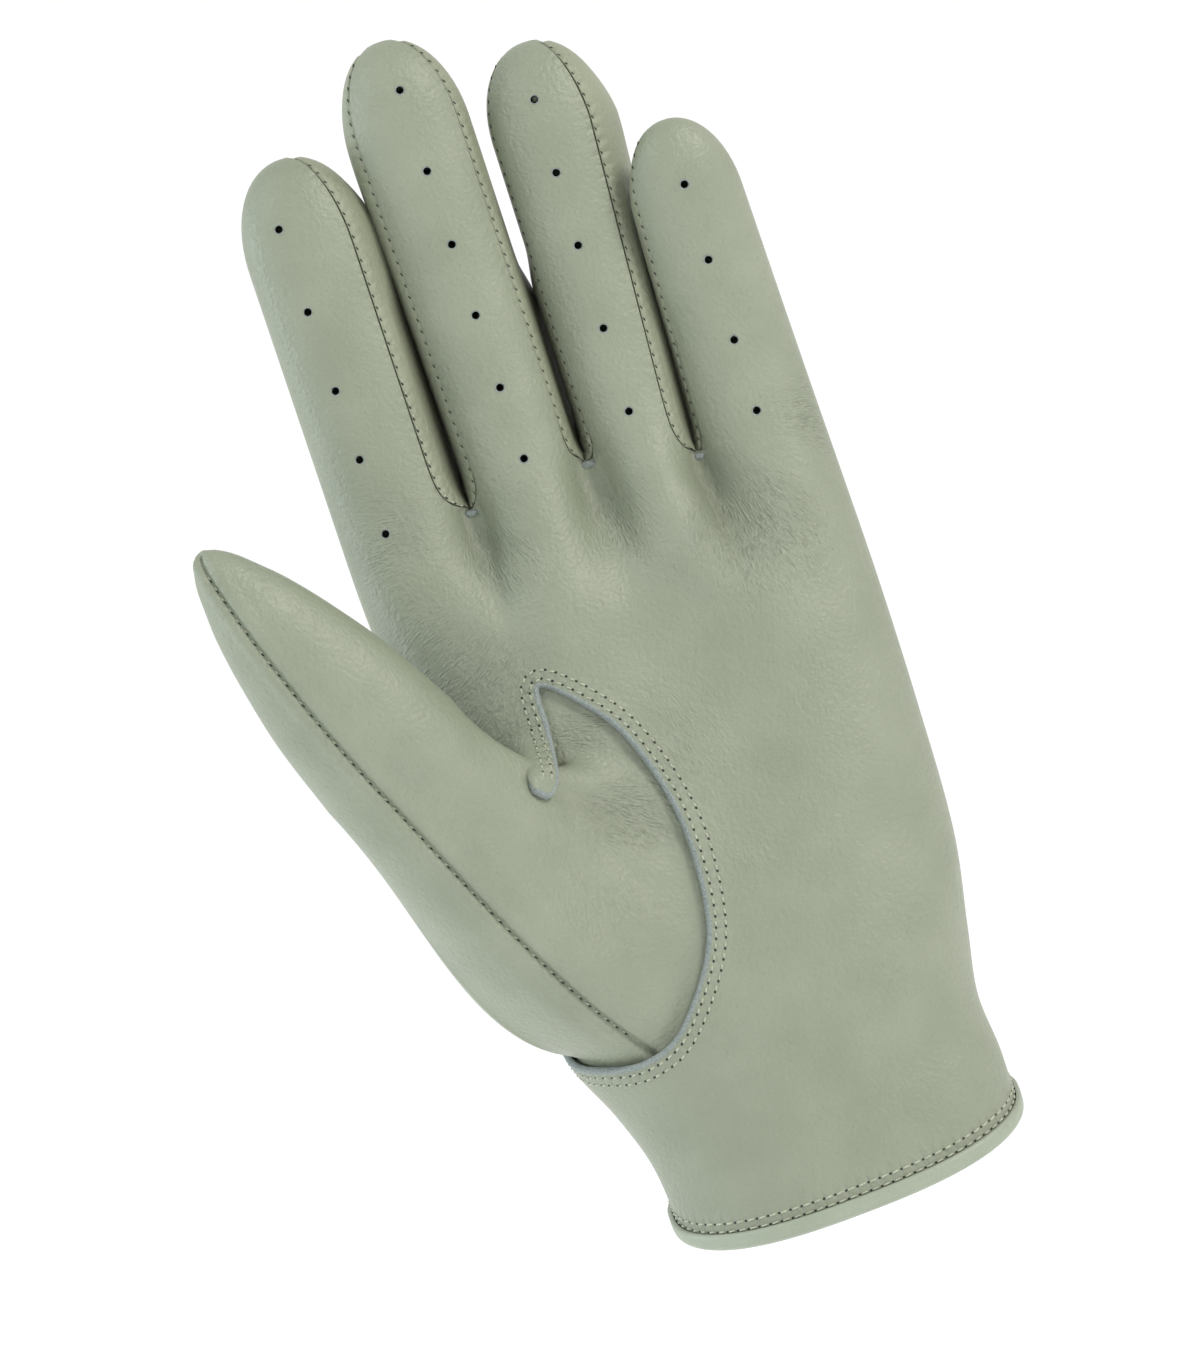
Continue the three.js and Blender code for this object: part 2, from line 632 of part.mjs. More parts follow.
// The binding's section: out from the hand's skin and up from its own lower edge
function bindingSection() {
  const outer = SEAM_GAP + BINDING_WALL;
  const inner = -WALL - SEAM_GAP - BINDING_WALL;
  const rounding = BINDING_WALL * 0.6;
  return [
    [outer, BINDING_HEIGHT], [outer, rounding], [outer - rounding, 0], [inner + rounding, 0],
    [inner, rounding], [inner, BINDING_HEIGHT], [inner + BINDING_WALL, BINDING_HEIGHT],
    [inner + BINDING_WALL, BINDING_WALL], [SEAM_GAP, BINDING_WALL], [SEAM_GAP, BINDING_HEIGHT],
  ].map(([out, up]) => ({ out, up }));
}

function bindingGeometry() {
  const section = bindingSection();
  const columns = handColumns();
  const positions = columns.flatMap(({ angle }) => {
    const rim = rimHeight(angle);
    const normal = handNormal(angle, rim).setZ(0).normalize();
    return section.map(({ out, up }) => handPoint(angle, rim + up).addScaledVector(normal, out));
  });
  const faces = [];
  columns.forEach((column, c) => {
    const here = c * section.length;
    const there = ((c + 1) % columns.length) * section.length;
    section.forEach((corner, k) => {
      const n = (k + 1) % section.length;
      faces.push([here + k, there + k, there + n], [here + k, there + n, here + n]);
    });
  });
  return facingOut(geometryOf(positions, faces));
}

// Punched holes down each finger: heights as shares of LENGTH, x from the top hole to the bottom one
const HOLES = [
  { top: -0.471, bottom: -0.468, heights: [0.8517, 0.7829, 0.7171, 0.6596, 0.5975] },
  { top: -0.153, bottom: -0.158, heights: [0.9242, 0.8571, 0.7963, 0.7375, 0.6775, 0.6183] },
  { top: 0.095, bottom: 0.071, heights: [0.8842, 0.8238, 0.7638, 0.6954, 0.6267] },
  { top: 0.321, bottom: 0.313, heights: [0.7804, 0.7188, 0.6529, 0.5946] },
];
const HOLE_SIDES = 8;
const PUNCH_LENGTH = 40;
const PUNCH_DEPTH = 6;

function holePunches() {
  return FINGERS.flatMap((finger, i) => {
    const { top, bottom, heights } = HOLES[i];
    return heights.map((at, k) => {
      const x = lerp(top, bottom, k / (heights.length - 1)) * PALM_WIDTH;
      const punch = new THREE.CylinderGeometry(HOLE_DIAMETER / 2, HOLE_DIAMETER / 2, PUNCH_LENGTH, HOLE_SIDES);
      const front = fingerPoint(finger, CROTCHES[Math.min(i, 2)].at, 0, at * LENGTH);
      return solidOf(punch.translate(x, front.y + PUNCH_DEPTH - PUNCH_LENGTH / 2, at * LENGTH));
    });
  });
}

const material = (color, roughness) => new THREE.MeshStandardMaterial({ color, roughness, metalness: 0 });

const skin = buildSkin();
const allTriangles = skin.quads.flatMap((quad) => {
  return split(skin.points, quad.corners).map((corners) => ({ corners, panel: quad.panel }));
});
const skinNormals = pointNormals(skin.points, allTriangles.map((triangle) => triangle.corners));

function panel(name) {
  const triangles = allTriangles.filter((triangle) => triangle.panel === name).map((one) => one.corners);
  return leather(skin.points, triangles, skinNormals, SEAM_GAP / 2);
}

const glove = new THREE.Group();
function addPiece(name, geometry, look) {
  const mesh = new THREE.Mesh(geometry, look);
  mesh.name = name;
  glove.add(mesh);
}

const palmSolid = holePunches().reduce(
  (solid, punch) => solid.subtract(punch),
  solidOf(panel('palm')).subtract(openingCutter()),
);
addPiece('palm', geometryFromSolid(palmSolid), material('#9b9c82', 0.55));
addPiece('back', panel('back'), material('#9b9c82', 0.55));
CROTCHES.forEach((crotch) => {
  addPiece(`fourchette_${crotch.name}`, panel(`fourchette_${crotch.name}`), material('#8d9079', 0.6));
});
addPiece('thumb', thumbGeometry(), material('#9b9c82', 0.55));
addPiece('cuff_binding', bindingGeometry(), material('#a3a58c', 0.5));

export default glove;
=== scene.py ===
# %% [markdown]
# # Dressing a leather driving glove
# The construction already holds the glove's panels at their real size. This lesson gives them the finish
# of real leather: panels with soft valleys between the fingers, turned seams, punched holes, an inset
# thumb whose opening has a raw blue-grey edge and two rows of topstitching, and a rolled wrist binding.
# Lengths are in millimetres until a mesh is made, because a glove maker thinks in millimetres.

# %% Load the fixed frame
import bmesh
import bpy
import numpy as np
from mathutils import Matrix, Vector
from mathutils.bvhtree import BVHTree
from mathutils.geometry import tessellate_polygon
from mathutils.kdtree import KDTree


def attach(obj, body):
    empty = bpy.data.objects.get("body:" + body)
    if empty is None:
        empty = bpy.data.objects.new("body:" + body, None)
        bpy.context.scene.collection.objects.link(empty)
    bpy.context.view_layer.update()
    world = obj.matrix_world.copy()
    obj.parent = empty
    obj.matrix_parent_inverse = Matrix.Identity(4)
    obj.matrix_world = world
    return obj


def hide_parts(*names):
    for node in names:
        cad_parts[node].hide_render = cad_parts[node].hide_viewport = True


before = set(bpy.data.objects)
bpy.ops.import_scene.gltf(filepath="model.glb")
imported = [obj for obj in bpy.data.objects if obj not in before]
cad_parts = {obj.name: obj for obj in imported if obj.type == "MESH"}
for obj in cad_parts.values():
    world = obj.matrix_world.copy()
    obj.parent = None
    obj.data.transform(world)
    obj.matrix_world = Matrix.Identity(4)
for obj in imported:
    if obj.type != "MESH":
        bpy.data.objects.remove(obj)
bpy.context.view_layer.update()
MM = 0.001
print("nodes in the frame:", sorted(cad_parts))

# %% [markdown]
# The photograph looks straight at the palm with a long lens, so the fingers hardly grow or shrink with
# distance. The glove leans to the left in the picture by 19 degrees. The glove itself stays upright in
# its own frame here, and the camera is rolled instead. The width of the palm, 95 mm, covers 500 pixels,
# which gives the scale of the picture.

# %% Camera
PHOTO_HEIGHT = 1359
MM_PER_PIXEL = 0.19
ROLL = np.radians(19)
CAMERA_DISTANCE = 1500
LOOKS_AT = np.array([-15.0, -8.0, 104.1])

camera_data = bpy.data.cameras.new("photo_camera")
camera = bpy.data.objects.new("photo_camera", camera_data)
bpy.context.scene.collection.objects.link(camera)
right = Vector((np.cos(ROLL), 0, -np.sin(ROLL)))
up = Vector((np.sin(ROLL), 0, np.cos(ROLL)))
towards_viewer = Vector((0, -1, 0))
place = Vector(LOOKS_AT * MM) + towards_viewer * CAMERA_DISTANCE * MM
axes = Matrix((right, up, towards_viewer)).transposed().to_4x4()
camera.matrix_world = Matrix.Translation(place) @ axes
camera_data.sensor_fit = "VERTICAL"
camera_data.sensor_height = 24
camera_data.lens = camera_data.sensor_height * CAMERA_DISTANCE / (PHOTO_HEIGHT * MM_PER_PIXEL)
bpy.context.scene.camera = camera
print(f"lens {camera_data.lens:.0f} mm, picture height {PHOTO_HEIGHT * MM_PER_PIXEL:.0f} mm at the glove")

# %% [markdown]
# A glove could be sculpted by hand, but a pattern of sections is easier to correct: each row of a table
# is one cut through the hand, and a smooth curve through the rows gives every cut between them. The first
# line of a table names its columns. The same two helpers serve all the tables of this lesson.

# %% Make a table, and read it smoothly between its rows
GLOVE_LENGTH = 240.0
PALM_WIDTH = 95.0


def table(names, *rows):
    return [dict(zip(names.split(), row)) for row in rows]


def along(rows, column, at):
    knots = np.array([row["at"] for row in rows], float)
    values = np.array([row[column] for row in rows], float)
    last = len(rows) - 1
    before = np.maximum(np.arange(last + 1) - 1, 0)
    after = np.minimum(np.arange(last + 1) + 1, last)
    slopes = (values[after] - values[before]) / (knots[after] - knots[before])
    at = np.clip(np.asarray(at, float), knots[0], knots[-1])
    i = np.clip(np.searchsorted(knots, at, side="right") - 1, 0, last - 1)
    width = knots[i + 1] - knots[i]
    t = (at - knots[i]) / width
    start = values[i] * (1 + t * t * (2 * t - 3)) + slopes[i] * t * (1 - t) ** 2 * width
    end = values[i + 1] * t * t * (3 - 2 * t) + slopes[i + 1] * t * t * (t - 1) * width
    return start + end


def smoothstep(value):
    value = np.clip(value, 0, 1)
    return value * value * (3 - 2 * value)


def signed_power(value, power):
    return np.sign(value) * np.abs(value) ** power


print("halfway between 0 and 1:", smoothstep(0.5))

# %% [markdown]
# The hand of the glove is a flattened tube, squarer than an ellipse, with a hollow in the palm. Its
# surface is found by an angle round the hand (0 is the middle of the palm, 90 the little finger's side,
# 180 the back) and a height above the wrist opening.

# %% The hand's sections
HAND_SECTIONS = table(
    "at left right front back",
    (-0.03, -0.364, 0.354, 0.221, 0.205),
    (0.05, -0.375, 0.362, 0.221, 0.205),
    (0.1, -0.413, 0.355, 0.221, 0.205),
    (0.15, -0.468, 0.378, 0.232, 0.205),
    (0.229, -0.505, 0.416, 0.232, 0.2),
    (0.333, -0.528, 0.431, 0.216, 0.19),
    (0.4375, -0.547, 0.438, 0.19, 0.18),
    (0.521, -0.558, 0.438, 0.175, 0.17),
    (0.6, -0.563, 0.437, 0.158, 0.158),
)
HAND_SQUARENESS = 2.5
PALM_HOLLOW = dict(x=0.02, at=0.4, depth=0.042, width=0.2, height=0.13)


def hand_point(angle, z):
    angle, z = np.broadcast_arrays(np.asarray(angle, float), np.asarray(z, float))
    at = z / GLOVE_LENGTH
    left = along(HAND_SECTIONS, "left", at) * PALM_WIDTH
    right_edge = along(HAND_SECTIONS, "right", at) * PALM_WIDTH
    sine, cosine = np.sin(np.radians(angle)), np.cos(np.radians(angle))
    front = along(HAND_SECTIONS, "front", at)
    back = along(HAND_SECTIONS, "back", at)
    depth = np.where(cosine > 0, front, back) * PALM_WIDTH
    power = 2 / HAND_SQUARENESS
    x = (left + right_edge) / 2 + (right_edge - left) / 2 * signed_power(sine, power)
    y = -depth * signed_power(cosine, power)
    across = (x / PALM_WIDTH - PALM_HOLLOW["x"]) / PALM_HOLLOW["width"]
    height = (at - PALM_HOLLOW["at"]) / PALM_HOLLOW["height"]
    sunk = PALM_HOLLOW["depth"] * PALM_WIDTH * np.exp(-across ** 2 - height ** 2)
    return np.stack([x, y + np.where(cosine > 0, sunk, 0), z], axis=-1)


print("middle of the palm at 100 mm:", hand_point(0, 100).round(1))

# %% [markdown]
# Each finger is a tube that leans a little forward and closes in a dome. The four rows below are the
# index, middle, ring and little finger: heights are shares of the glove's length, everything across is a
# share of the palm's width, and the two seam angles say where the side strips are sewn to the palm.

# %% The fingers
FINGERS = table(
    "name shoulder tip left_root right_root left_top right_top depth_root depth_top curl"
    " seam_left seam_right",
    ("index", 0.825, 0.906, -0.563, -0.299, -0.558, -0.292, 0.121, 0.101, -0.07, 60, 38),
    ("middle", 0.892, 0.968, -0.282, -0.048, -0.287, -0.037, 0.121, 0.101, -0.08, 58, 54),
    ("ring", 0.858, 0.9325, -0.0295, 0.1725, -0.0126, 0.2385, 0.116, 0.098, -0.02, 72, 36),
    ("little", 0.767, 0.835, 0.1825, 0.437, 0.213, 0.434, 0.108, 0.09, -0.145, 72, 60),
)
FINGER_SQUARENESS = 2.3
TIP_SQUARENESS = 2.1
BACK_SEAM = 50
CURL_POWER = 1.4


def finger_point(finger, root, angle, z):
    at = np.asarray(z, float) / GLOVE_LENGTH
    share = np.clip((at - root) / (finger["shoulder"] - root), -0.5, 1)
    edge = {}
    for key in ("left", "right", "depth"):
        start, end = finger[key + "_root"], finger[key + "_top"]
        edge[key] = (start + (end - start) * share) * PALM_WIDTH
    dome = np.clip((at - finger["shoulder"]) / (finger["tip"] - finger["shoulder"]), 0, 1)
    closing = (1 - dome ** TIP_SQUARENESS) ** (1 / TIP_SQUARENESS)
    rise = np.maximum((at - root) / (finger["tip"] - root), 0)
    power = 2 / FINGER_SQUARENESS
    sine = signed_power(np.sin(np.radians(angle)), power)
    cosine = signed_power(np.cos(np.radians(angle)), power)
    x = (edge["left"] + edge["right"]) / 2 + (edge["right"] - edge["left"]) / 2 * closing * sine
    y = finger["curl"] * PALM_WIDTH * rise ** CURL_POWER - edge["depth"] * closing * cosine
    x, y, z = np.broadcast_arrays(x, y, z)
    return np.stack([x, y, z], axis=-1)


print("tip of the middle finger:", finger_point(FINGERS[1], 0.6, 0, 0.968 * GLOVE_LENGTH).round(1))

# %% [markdown]
# Between two fingers the palm dips into a valley that ends in a crotch. The valley is made by pulling the
# surface towards the crotch, most at the seam itself and less to both sides, so the pads stay round.

# %% Crotches and the wrist's rim
CROTCHES = table(
    "name x at angle steepness",
    ("index_middle", -0.293, 0.595, 23.5, 5.5),
    ("middle_ring", -0.039, 0.6017, -1.3, 2.6),
    ("ring_little", 0.1755, 0.579, -23.2, 2.8),
)
CROTCH_FRONT, CROTCH_BACK = -0.047, 0.053
WEB_RISE = 0.008
CROTCH_ROUNDING = 2.3
PAD_ROUNDING = 3.5
PULL_WIDTH = 5.2
SIDE_CORNER, SIDE_SEAM = 60, 128
ROOT_BLEND, VALLEY_BLEND = 0.125, 0.15
SEAM_GAP, BINDING_WALL = 0.3, 0.9
RIM_SIDE, RIM_SLOPE, RIM_EASE, RIM_TILT = 0.003, 0.38, 0.009, 0.03


def rim_height(angle):
    point = hand_point(angle, 0)
    x, y = point[..., 0], point[..., 1]
    return RIM_SIDE * GLOVE_LENGTH + RIM_SLOPE * y - RIM_EASE * np.maximum(y, 0) ** 2 + RIM_TILT * x


def crotch_point(crotch, depth):
    return np.array([crotch["x"] * PALM_WIDTH, depth * PALM_WIDTH, crotch["at"] * GLOVE_LENGTH])


print("rim heights, palm and back:", rim_height(0).round(1), rim_height(180).round(1))

# %% [markdown]
# A skin of many small squares can carry real folds, where a coarse one would show its facets. Columns of
# points run up the hand and on into the fingers. They stand closer together next to a seam, because the
# leather turns in sharply there.

# %% Columns of the skin
FRONT_STEPS, SIDE_STEPS, BACK_STEPS = 22, 10, 14
HAND_ROWS = 130
SHAFT_ROWS = 62
DOME_ROWS = 16


def spread(count):
    even = np.arange(count) / count
    return 0.5 * even + 0.25 * (1 - np.cos(np.pi * even))


def mix(start, end, share):
    return start + (end - start) * share


def crotch_height(i):
    return CROTCHES[int(np.clip(i, 0, len(CROTCHES) - 1))]["at"]


LITTLE = len(FINGERS) - 1
SEAM_AT_CROTCH = 70


def angles_round(i, at_crotch):
    front_left, front_right = FINGERS[i]["seam_left"], FINGERS[i]["seam_right"]
    back_left = back_right = BACK_SEAM
    if at_crotch and i > 0:
        front_left = back_left = SEAM_AT_CROTCH
    if at_crotch and i < LITTLE:
        front_right = back_right = SEAM_AT_CROTCH
    return np.concatenate([
        mix(-front_left, front_right, spread(FRONT_STEPS)),
        mix(front_right, 180 - back_right, spread(SIDE_STEPS)),
        mix(180 - back_right, 180 + back_left, spread(BACK_STEPS)),
        mix(180 + back_left, 360 - front_left, spread(SIDE_STEPS)),
    ])


def hand_columns():
    rows = []
    back_first = FRONT_STEPS + SIDE_STEPS
    for k, t in enumerate(spread(SIDE_STEPS)):
        around = angles_round(0, True)[back_first + BACK_STEPS + k] - 360
        rows.append((mix(-SIDE_SEAM, -SIDE_CORNER, t), crotch_height(0), around, 0, -1))
    for i in range(len(FINGERS)):
        start = -SIDE_CORNER if i == 0 else -CROTCHES[i - 1]["angle"]
        end = SIDE_CORNER if i == LITTLE else -CROTCHES[i]["angle"]
        for t, around in zip(spread(FRONT_STEPS), angles_round(i, True)):
            root = mix(crotch_height(i - 1), crotch_height(i), t)
            rows.append((mix(start, end, t), root, around, i, i - 1 if t == 0 else -1))
    for k, t in enumerate(spread(SIDE_STEPS)):
        around = angles_round(LITTLE, True)[FRONT_STEPS + k]
        rows.append((mix(SIDE_CORNER, SIDE_SEAM, t), crotch_height(LITTLE), around, LITTLE, -1))
    for i in range(LITTLE, -1, -1):
        start = SIDE_SEAM if i == LITTLE else 180 + CROTCHES[i]["angle"]
        end = 360 - SIDE_SEAM if i == 0 else 180 + CROTCHES[i - 1]["angle"]
        for t, around in zip(spread(BACK_STEPS), angles_round(i, True)[back_first:]):
            root = mix(crotch_height(i), crotch_height(i - 1), t)
            rows.append((mix(start, end, t), root, around, i, i if t == 0 and i < LITTLE else -1))
    return rows


COLUMNS = hand_columns()
FRONT_END = SIDE_STEPS * 2 + FRONT_STEPS * len(FINGERS)
print("columns round the hand:", len(COLUMNS), "of which on the palm side:", FRONT_END)

# %% [markdown]
# The hand's points are worked out in three steps: the plain hand gives way to the fingers near their
# roots, then each crotch pulls its seam column down to it, and at last the neighbouring columns follow
# by how near they are, which leaves a soft valley between two pads.

# %% Points of the hand
HAND_CROWDING = 1.15


def toward_fingers(angle, root, finger_angle, finger, z):
    share = smoothstep(1 - (root - z / GLOVE_LENGTH) / ROOT_BLEND)[:, None]
    hand = hand_point(angle, z)
    return hand + (finger_point(FINGERS[finger], root, finger_angle, z) - hand) * share


def hand_grid():
    rows = 1 - (1 - np.arange(HAND_ROWS + 1) / HAND_ROWS) ** HAND_CROWDING
    grid = np.zeros((len(COLUMNS), HAND_ROWS + 1, 3))
    for c, (angle, root, around, finger, crotch) in enumerate(COLUMNS):
        bottom = rim_height(angle) + BINDING_WALL + SEAM_GAP
        z = mix(bottom, root * GLOVE_LENGTH, rows)
        grid[c] = toward_fingers(angle, root, around, finger, z)
        if crotch >= 0:
            other = finger - 1 if c < FRONT_END else finger + 1
            other_angle = SEAM_AT_CROTCH if c < FRONT_END else 180 + SEAM_AT_CROTCH
            grid[c] = (grid[c] + toward_fingers(angle, root, other_angle, other, z)) / 2
    return grid


def pull_to_crotches(grid):
    plain = grid.copy()
    nearness = np.zeros(grid.shape[:2])
    columns = np.arange(len(COLUMNS))
    for c, column in enumerate(COLUMNS):
        root, crotch = column[1], column[-1]
        if crotch < 0:
            continue
        on_front = c < FRONT_END
        z = plain[c, :, 2]
        bottom = plain[c].copy()
        bottom[:, :2] = crotch_point(CROTCHES[crotch], CROTCH_FRONT if on_front else CROTCH_BACK)[:2]
        closeness = np.maximum(1 - (root - z / GLOVE_LENGTH) / VALLEY_BLEND, 0)
        share = closeness ** CROTCHES[crotch]["steepness"]
        pull = (bottom - plain[c]) * share[:, None]
        same_side = (columns < FRONT_END) == on_front
        distance = np.linalg.norm(plain - plain[c][None], axis=2)
        weight = np.exp(-(distance / PULL_WIDTH) ** 2) * same_side[:, None]
        grid += pull[None] * weight[:, :, None]
        nearness = np.maximum(nearness, weight)
    return nearness


hand = hand_grid()
near_crotch = pull_to_crotches(hand)
print("points of the hand:", hand.shape[0] * hand.shape[1])

# %% [markdown]
# The fingers stand on the hand's top row. A finger's first points still belong to the valley, so the
# difference between the two shapes fades out over a few millimetres: quickly at the seam, where the
# leather is held, and more slowly on the pad.

# %% Points and panels of the whole skin
PALM, BACK, STRIP = 0, 1, 2
STRIP_END = 0.995
SEAM_ROUNDING = 2.0
FINGER_CROWDING = 1.4
BULGE_WIDTH, OPENING_HEIGHT = 0.16, 10
GAP_BULGES = table(
    "right left open_above",
    (1.2, 0.7, 400),
    (1.75, 1.1, 176),
    (1.2, 0.7, 400),
)


def web_points(crotch, steps):
    points = []
    for t in spread(steps)[1:]:
        point = crotch_point(crotch, mix(CROTCH_FRONT, CROTCH_BACK, t))
        point[2] += WEB_RISE * GLOVE_LENGTH * np.sin(np.pi * t)
        points.append(point)
    return points


def finger_loop(i, tops, webs):
    front_start = SIDE_STEPS + FRONT_STEPS * i
    back_start = FRONT_END + BACK_STEPS * (LITTLE - i)
    right_panel = STRIP + i if i < LITTLE else PALM
    left_panel = STRIP + i - 1 if i > 0 else PALM
    loop = []

    def add(column, panel, web=None, inside=0.0):
        column %= len(tops)
        point, held = (tops[column], near_crotch[column, -1]) if web is None else (web, 1)
        loop.append((point, panel, held, inside))

    for k in range(FRONT_STEPS):
        add(front_start + k, PALM)
    for k, t in enumerate(spread(SIDE_STEPS)):
        web = webs[i][k - 1] if k > 0 and i < LITTLE else None
        add(front_start + FRONT_STEPS + k, right_panel, web, np.sin(np.pi * t))
    for k in range(BACK_STEPS):
        add(back_start + k, BACK)
    for k, t in enumerate(spread(SIDE_STEPS)):
        web = webs[i - 1][SIDE_STEPS - 1 - k] if k > 0 and i > 0 else None
        add(back_start + BACK_STEPS + k, left_panel, web, np.sin(np.pi * t))
    return [np.array(column) for column in zip(*loop)]


def side_bulge(i, z, share):
    bulge = np.zeros(len(z))
    across = spread(SIDE_STEPS)
    fading = smoothstep((share + 0.01) / 0.04) * smoothstep((0.93 - share) / 0.2)
    sides = ("right", i, FRONT_STEPS, 0.68), ("left", i - 1, -SIDE_STEPS, 0.66)
    for side, gap_number, first, peak in sides:
        if 0 <= gap_number < LITTLE:
            gap = GAP_BULGES[gap_number]
            closed = fading * (1 - smoothstep((z.mean() - gap["open_above"]) / OPENING_HEIGHT))
            swelling = closed * gap[side] * np.exp(-((across - peak) / BULGE_WIDTH) ** 2)
            first %= len(z)
            bulge[first:first + SIDE_STEPS] = swelling if side == "right" else -swelling
    return bulge


def finger_rings(i, base, held):
    finger, root = FINGERS[i], crotch_height(i)
    at_crotch, on_shaft = angles_round(i, True), angles_round(i, False)
    offset = base - finger_point(finger, root, at_crotch, base[:, 2])
    fade = mix(PAD_ROUNDING, CROTCH_ROUNDING, held)
    shoulder, tip = finger["shoulder"] * GLOVE_LENGTH, finger["tip"] * GLOVE_LENGTH
    climbed = [(k / SHAFT_ROWS) ** FINGER_CROWDING for k in range(1, SHAFT_ROWS + 1)]
    heights = [mix(base[:, 2], shoulder, share) for share in climbed]
    for k in range(1, DOME_ROWS):
        heights.append(np.full(len(base), mix(shoulder, tip, np.sin(np.pi / 2 * k / DOME_ROWS))))
    rings = []
    for z in heights:
        risen = z - base[:, 2]
        share = (z.mean() - base[:, 2].mean()) / (tip - base[:, 2].mean())
        around = on_shaft + (at_crotch - on_shaft) * np.exp(-risen / SEAM_ROUNDING)
        ring = finger_point(finger, root, around, z) + offset * np.exp(-risen / fade)[:, None]
        ring[:, 0] += side_bulge(i, z, share)
        rings.append((ring, share))
    return rings, finger_point(finger, root, 0, tip)


print("points in one ring of a finger:", FRONT_STEPS + BACK_STEPS + 2 * SIDE_STEPS)

# %% [markdown]
# All points go into one list, and each square says which four points are its corners, which panel of
# leather it belongs to, and how deep it lies in the gap between two fingers. First come the hand and the
# little webs at the foot of the gaps.

# %% The skin of the hand
skin_blocks, skin_depths, quad_blocks, panel_blocks = [], [], [], []


def add_points(points, depth_in_gap=0.0):
    first = sum(len(block) for block in skin_blocks)
    skin_blocks.append(points)
    skin_depths.append(np.full(len(points), 0.0) + depth_in_gap)
    return np.arange(first, first + len(points))


def squares_between(ids, closed=False):
    beyond = np.roll(ids, -1, axis=0)
    if closed:
        corners = ids, beyond, np.roll(beyond, -1, axis=1), np.roll(ids, -1, axis=1)
    else:
        corners = ids[:, :-1], beyond[:, :-1], beyond[:, 1:], ids[:, 1:]
    return np.stack(corners, axis=-1).reshape(-1, 4)


hand_ids = add_points(hand.reshape(-1, 3)).reshape(hand.shape[:2])
quad_blocks.append(squares_between(hand_ids))
on_palm = np.arange(len(COLUMNS)) < FRONT_END
panel_blocks.append(np.repeat(np.where(on_palm, PALM, BACK), hand_ids.shape[1] - 1))
webs = [add_points(np.array(web_points(crotch, SIDE_STEPS)), 1.0) for crotch in CROTCHES]
print("points of one web:", len(webs[0]))

# %% [markdown]
# Each finger is then built ring by ring on the points round its root, and closed by one point at its tip.
# Near the tip the side strip ends, and the leather of the back runs over to the palm.

# %% The skin of the fingers
def add_finger(i):
    lower, panel, held, inside = finger_loop(i, hand_ids[:, -1], webs)
    rings, tip = finger_rings(i, np.concatenate(skin_blocks)[lower], held)
    levels = [lower]
    for ring, share in rings:
        upper = add_points(ring, inside * smoothstep((0.8 - share) / 0.3))
        quad_blocks.append(np.stack([lower, np.roll(lower, -1), np.roll(upper, -1), upper], axis=1))
        panel_blocks.append(np.where((panel >= STRIP) & (share > STRIP_END), BACK, panel))
        levels.append(upper)
        lower = upper
    pole = np.repeat(add_points(tip[None]), len(lower))
    quad_blocks.append(np.stack([lower, np.roll(lower, -1), pole, pole], axis=1))
    panel_blocks.append(np.where(panel >= STRIP, BACK, panel))
    return np.array(levels)


finger_ids = [add_finger(i) for i in range(len(FINGERS))]
skin_points, skin_quads, skin_panels, skin_gaps = [
    np.concatenate(blocks) for blocks in (skin_blocks, quad_blocks, panel_blocks, skin_depths)]
print("skin:", len(skin_points), "points and", len(skin_quads), "squares")

# %% [markdown]
# Folds rise and leather gets its thickness along the direction that the surface faces. At a point that is
# the average of the squares around it, and the large squares count for more.

# %% Normals of the skin
def unit(vectors):
    length = np.linalg.norm(vectors, axis=-1, keepdims=True)
    return vectors / np.maximum(length, 1e-9)


def quad_normals(points, quads):
    a, b, c, d = (points[quads[:, k]] for k in range(4))
    return np.cross(c - a, d - b)


def point_normals(points, quads):
    normals = np.zeros_like(points)
    faces = quad_normals(points, quads)
    for k in range(4):
        np.add.at(normals, quads[:, k], faces)
    return unit(normals)


skin_normals = point_normals(skin_points, skin_quads)
skin_area = np.linalg.norm(quad_normals(skin_points, skin_quads), axis=1).sum() / 2
print("area of the skin:", round(skin_area / 100), "square centimetres")

# %% [markdown]
# Soft folds give the palm its life: a valley runs down from each crotch, a rounded ridge lies between two
# valleys, and the leather bunches a little at the wrist. Each row of the table is one fold, drawn as a line
# on the palm side, with how wide it is and how far it rises. A minus sign makes it a valley.

# %% Folds of the palm
PALM_FOLDS = table(
    "x0 z0 x1 z1 width rise",
    (-28.5, 140, -27, 124, 4.5, -0.35),
    (-3.7, 141, -5, 108, 6.5, -1.5),
    (16.5, 136, 21, 124, 5, -1.0),
    (20, 125, 31, 118, 4.5, -0.9),
    (8.5, 139, 11.4, 120.7, 5.5, 1.6),
    (11.4, 120.7, 18, 106, 7, 1.5),
    (-27.7, 128.5, -42, 113, 5, 1.0),
    (-33, 124, -25, 104, 8, -0.8),
    (-15, 138, -17, 116, 7, 0.6),
    (30, 62, 6, 34, 7, -0.8),
    (33, 46, 12, 24, 6, 0.8),
    (26, 18, 2, 12, 5, -0.7),
)


FADES_BY = 0.55


def fold_rise(points, folds):
    x, z = points[:, 0], points[:, 2]
    total = np.zeros(len(points))
    for fold in folds:
        dx, dz = fold["x1"] - fold["x0"], fold["z1"] - fold["z0"]
        share = ((x - fold["x0"]) * dx + (z - fold["z0"]) * dz) / (dx * dx + dz * dz)
        share = np.clip(share, 0, 1)
        distance = np.hypot(x - fold["x0"] - share * dx, z - fold["z0"] - share * dz)
        fading = 1 - FADES_BY * share
        total += fold["rise"] * fading * np.exp(-(distance / fold["width"]) ** 2)
    return total


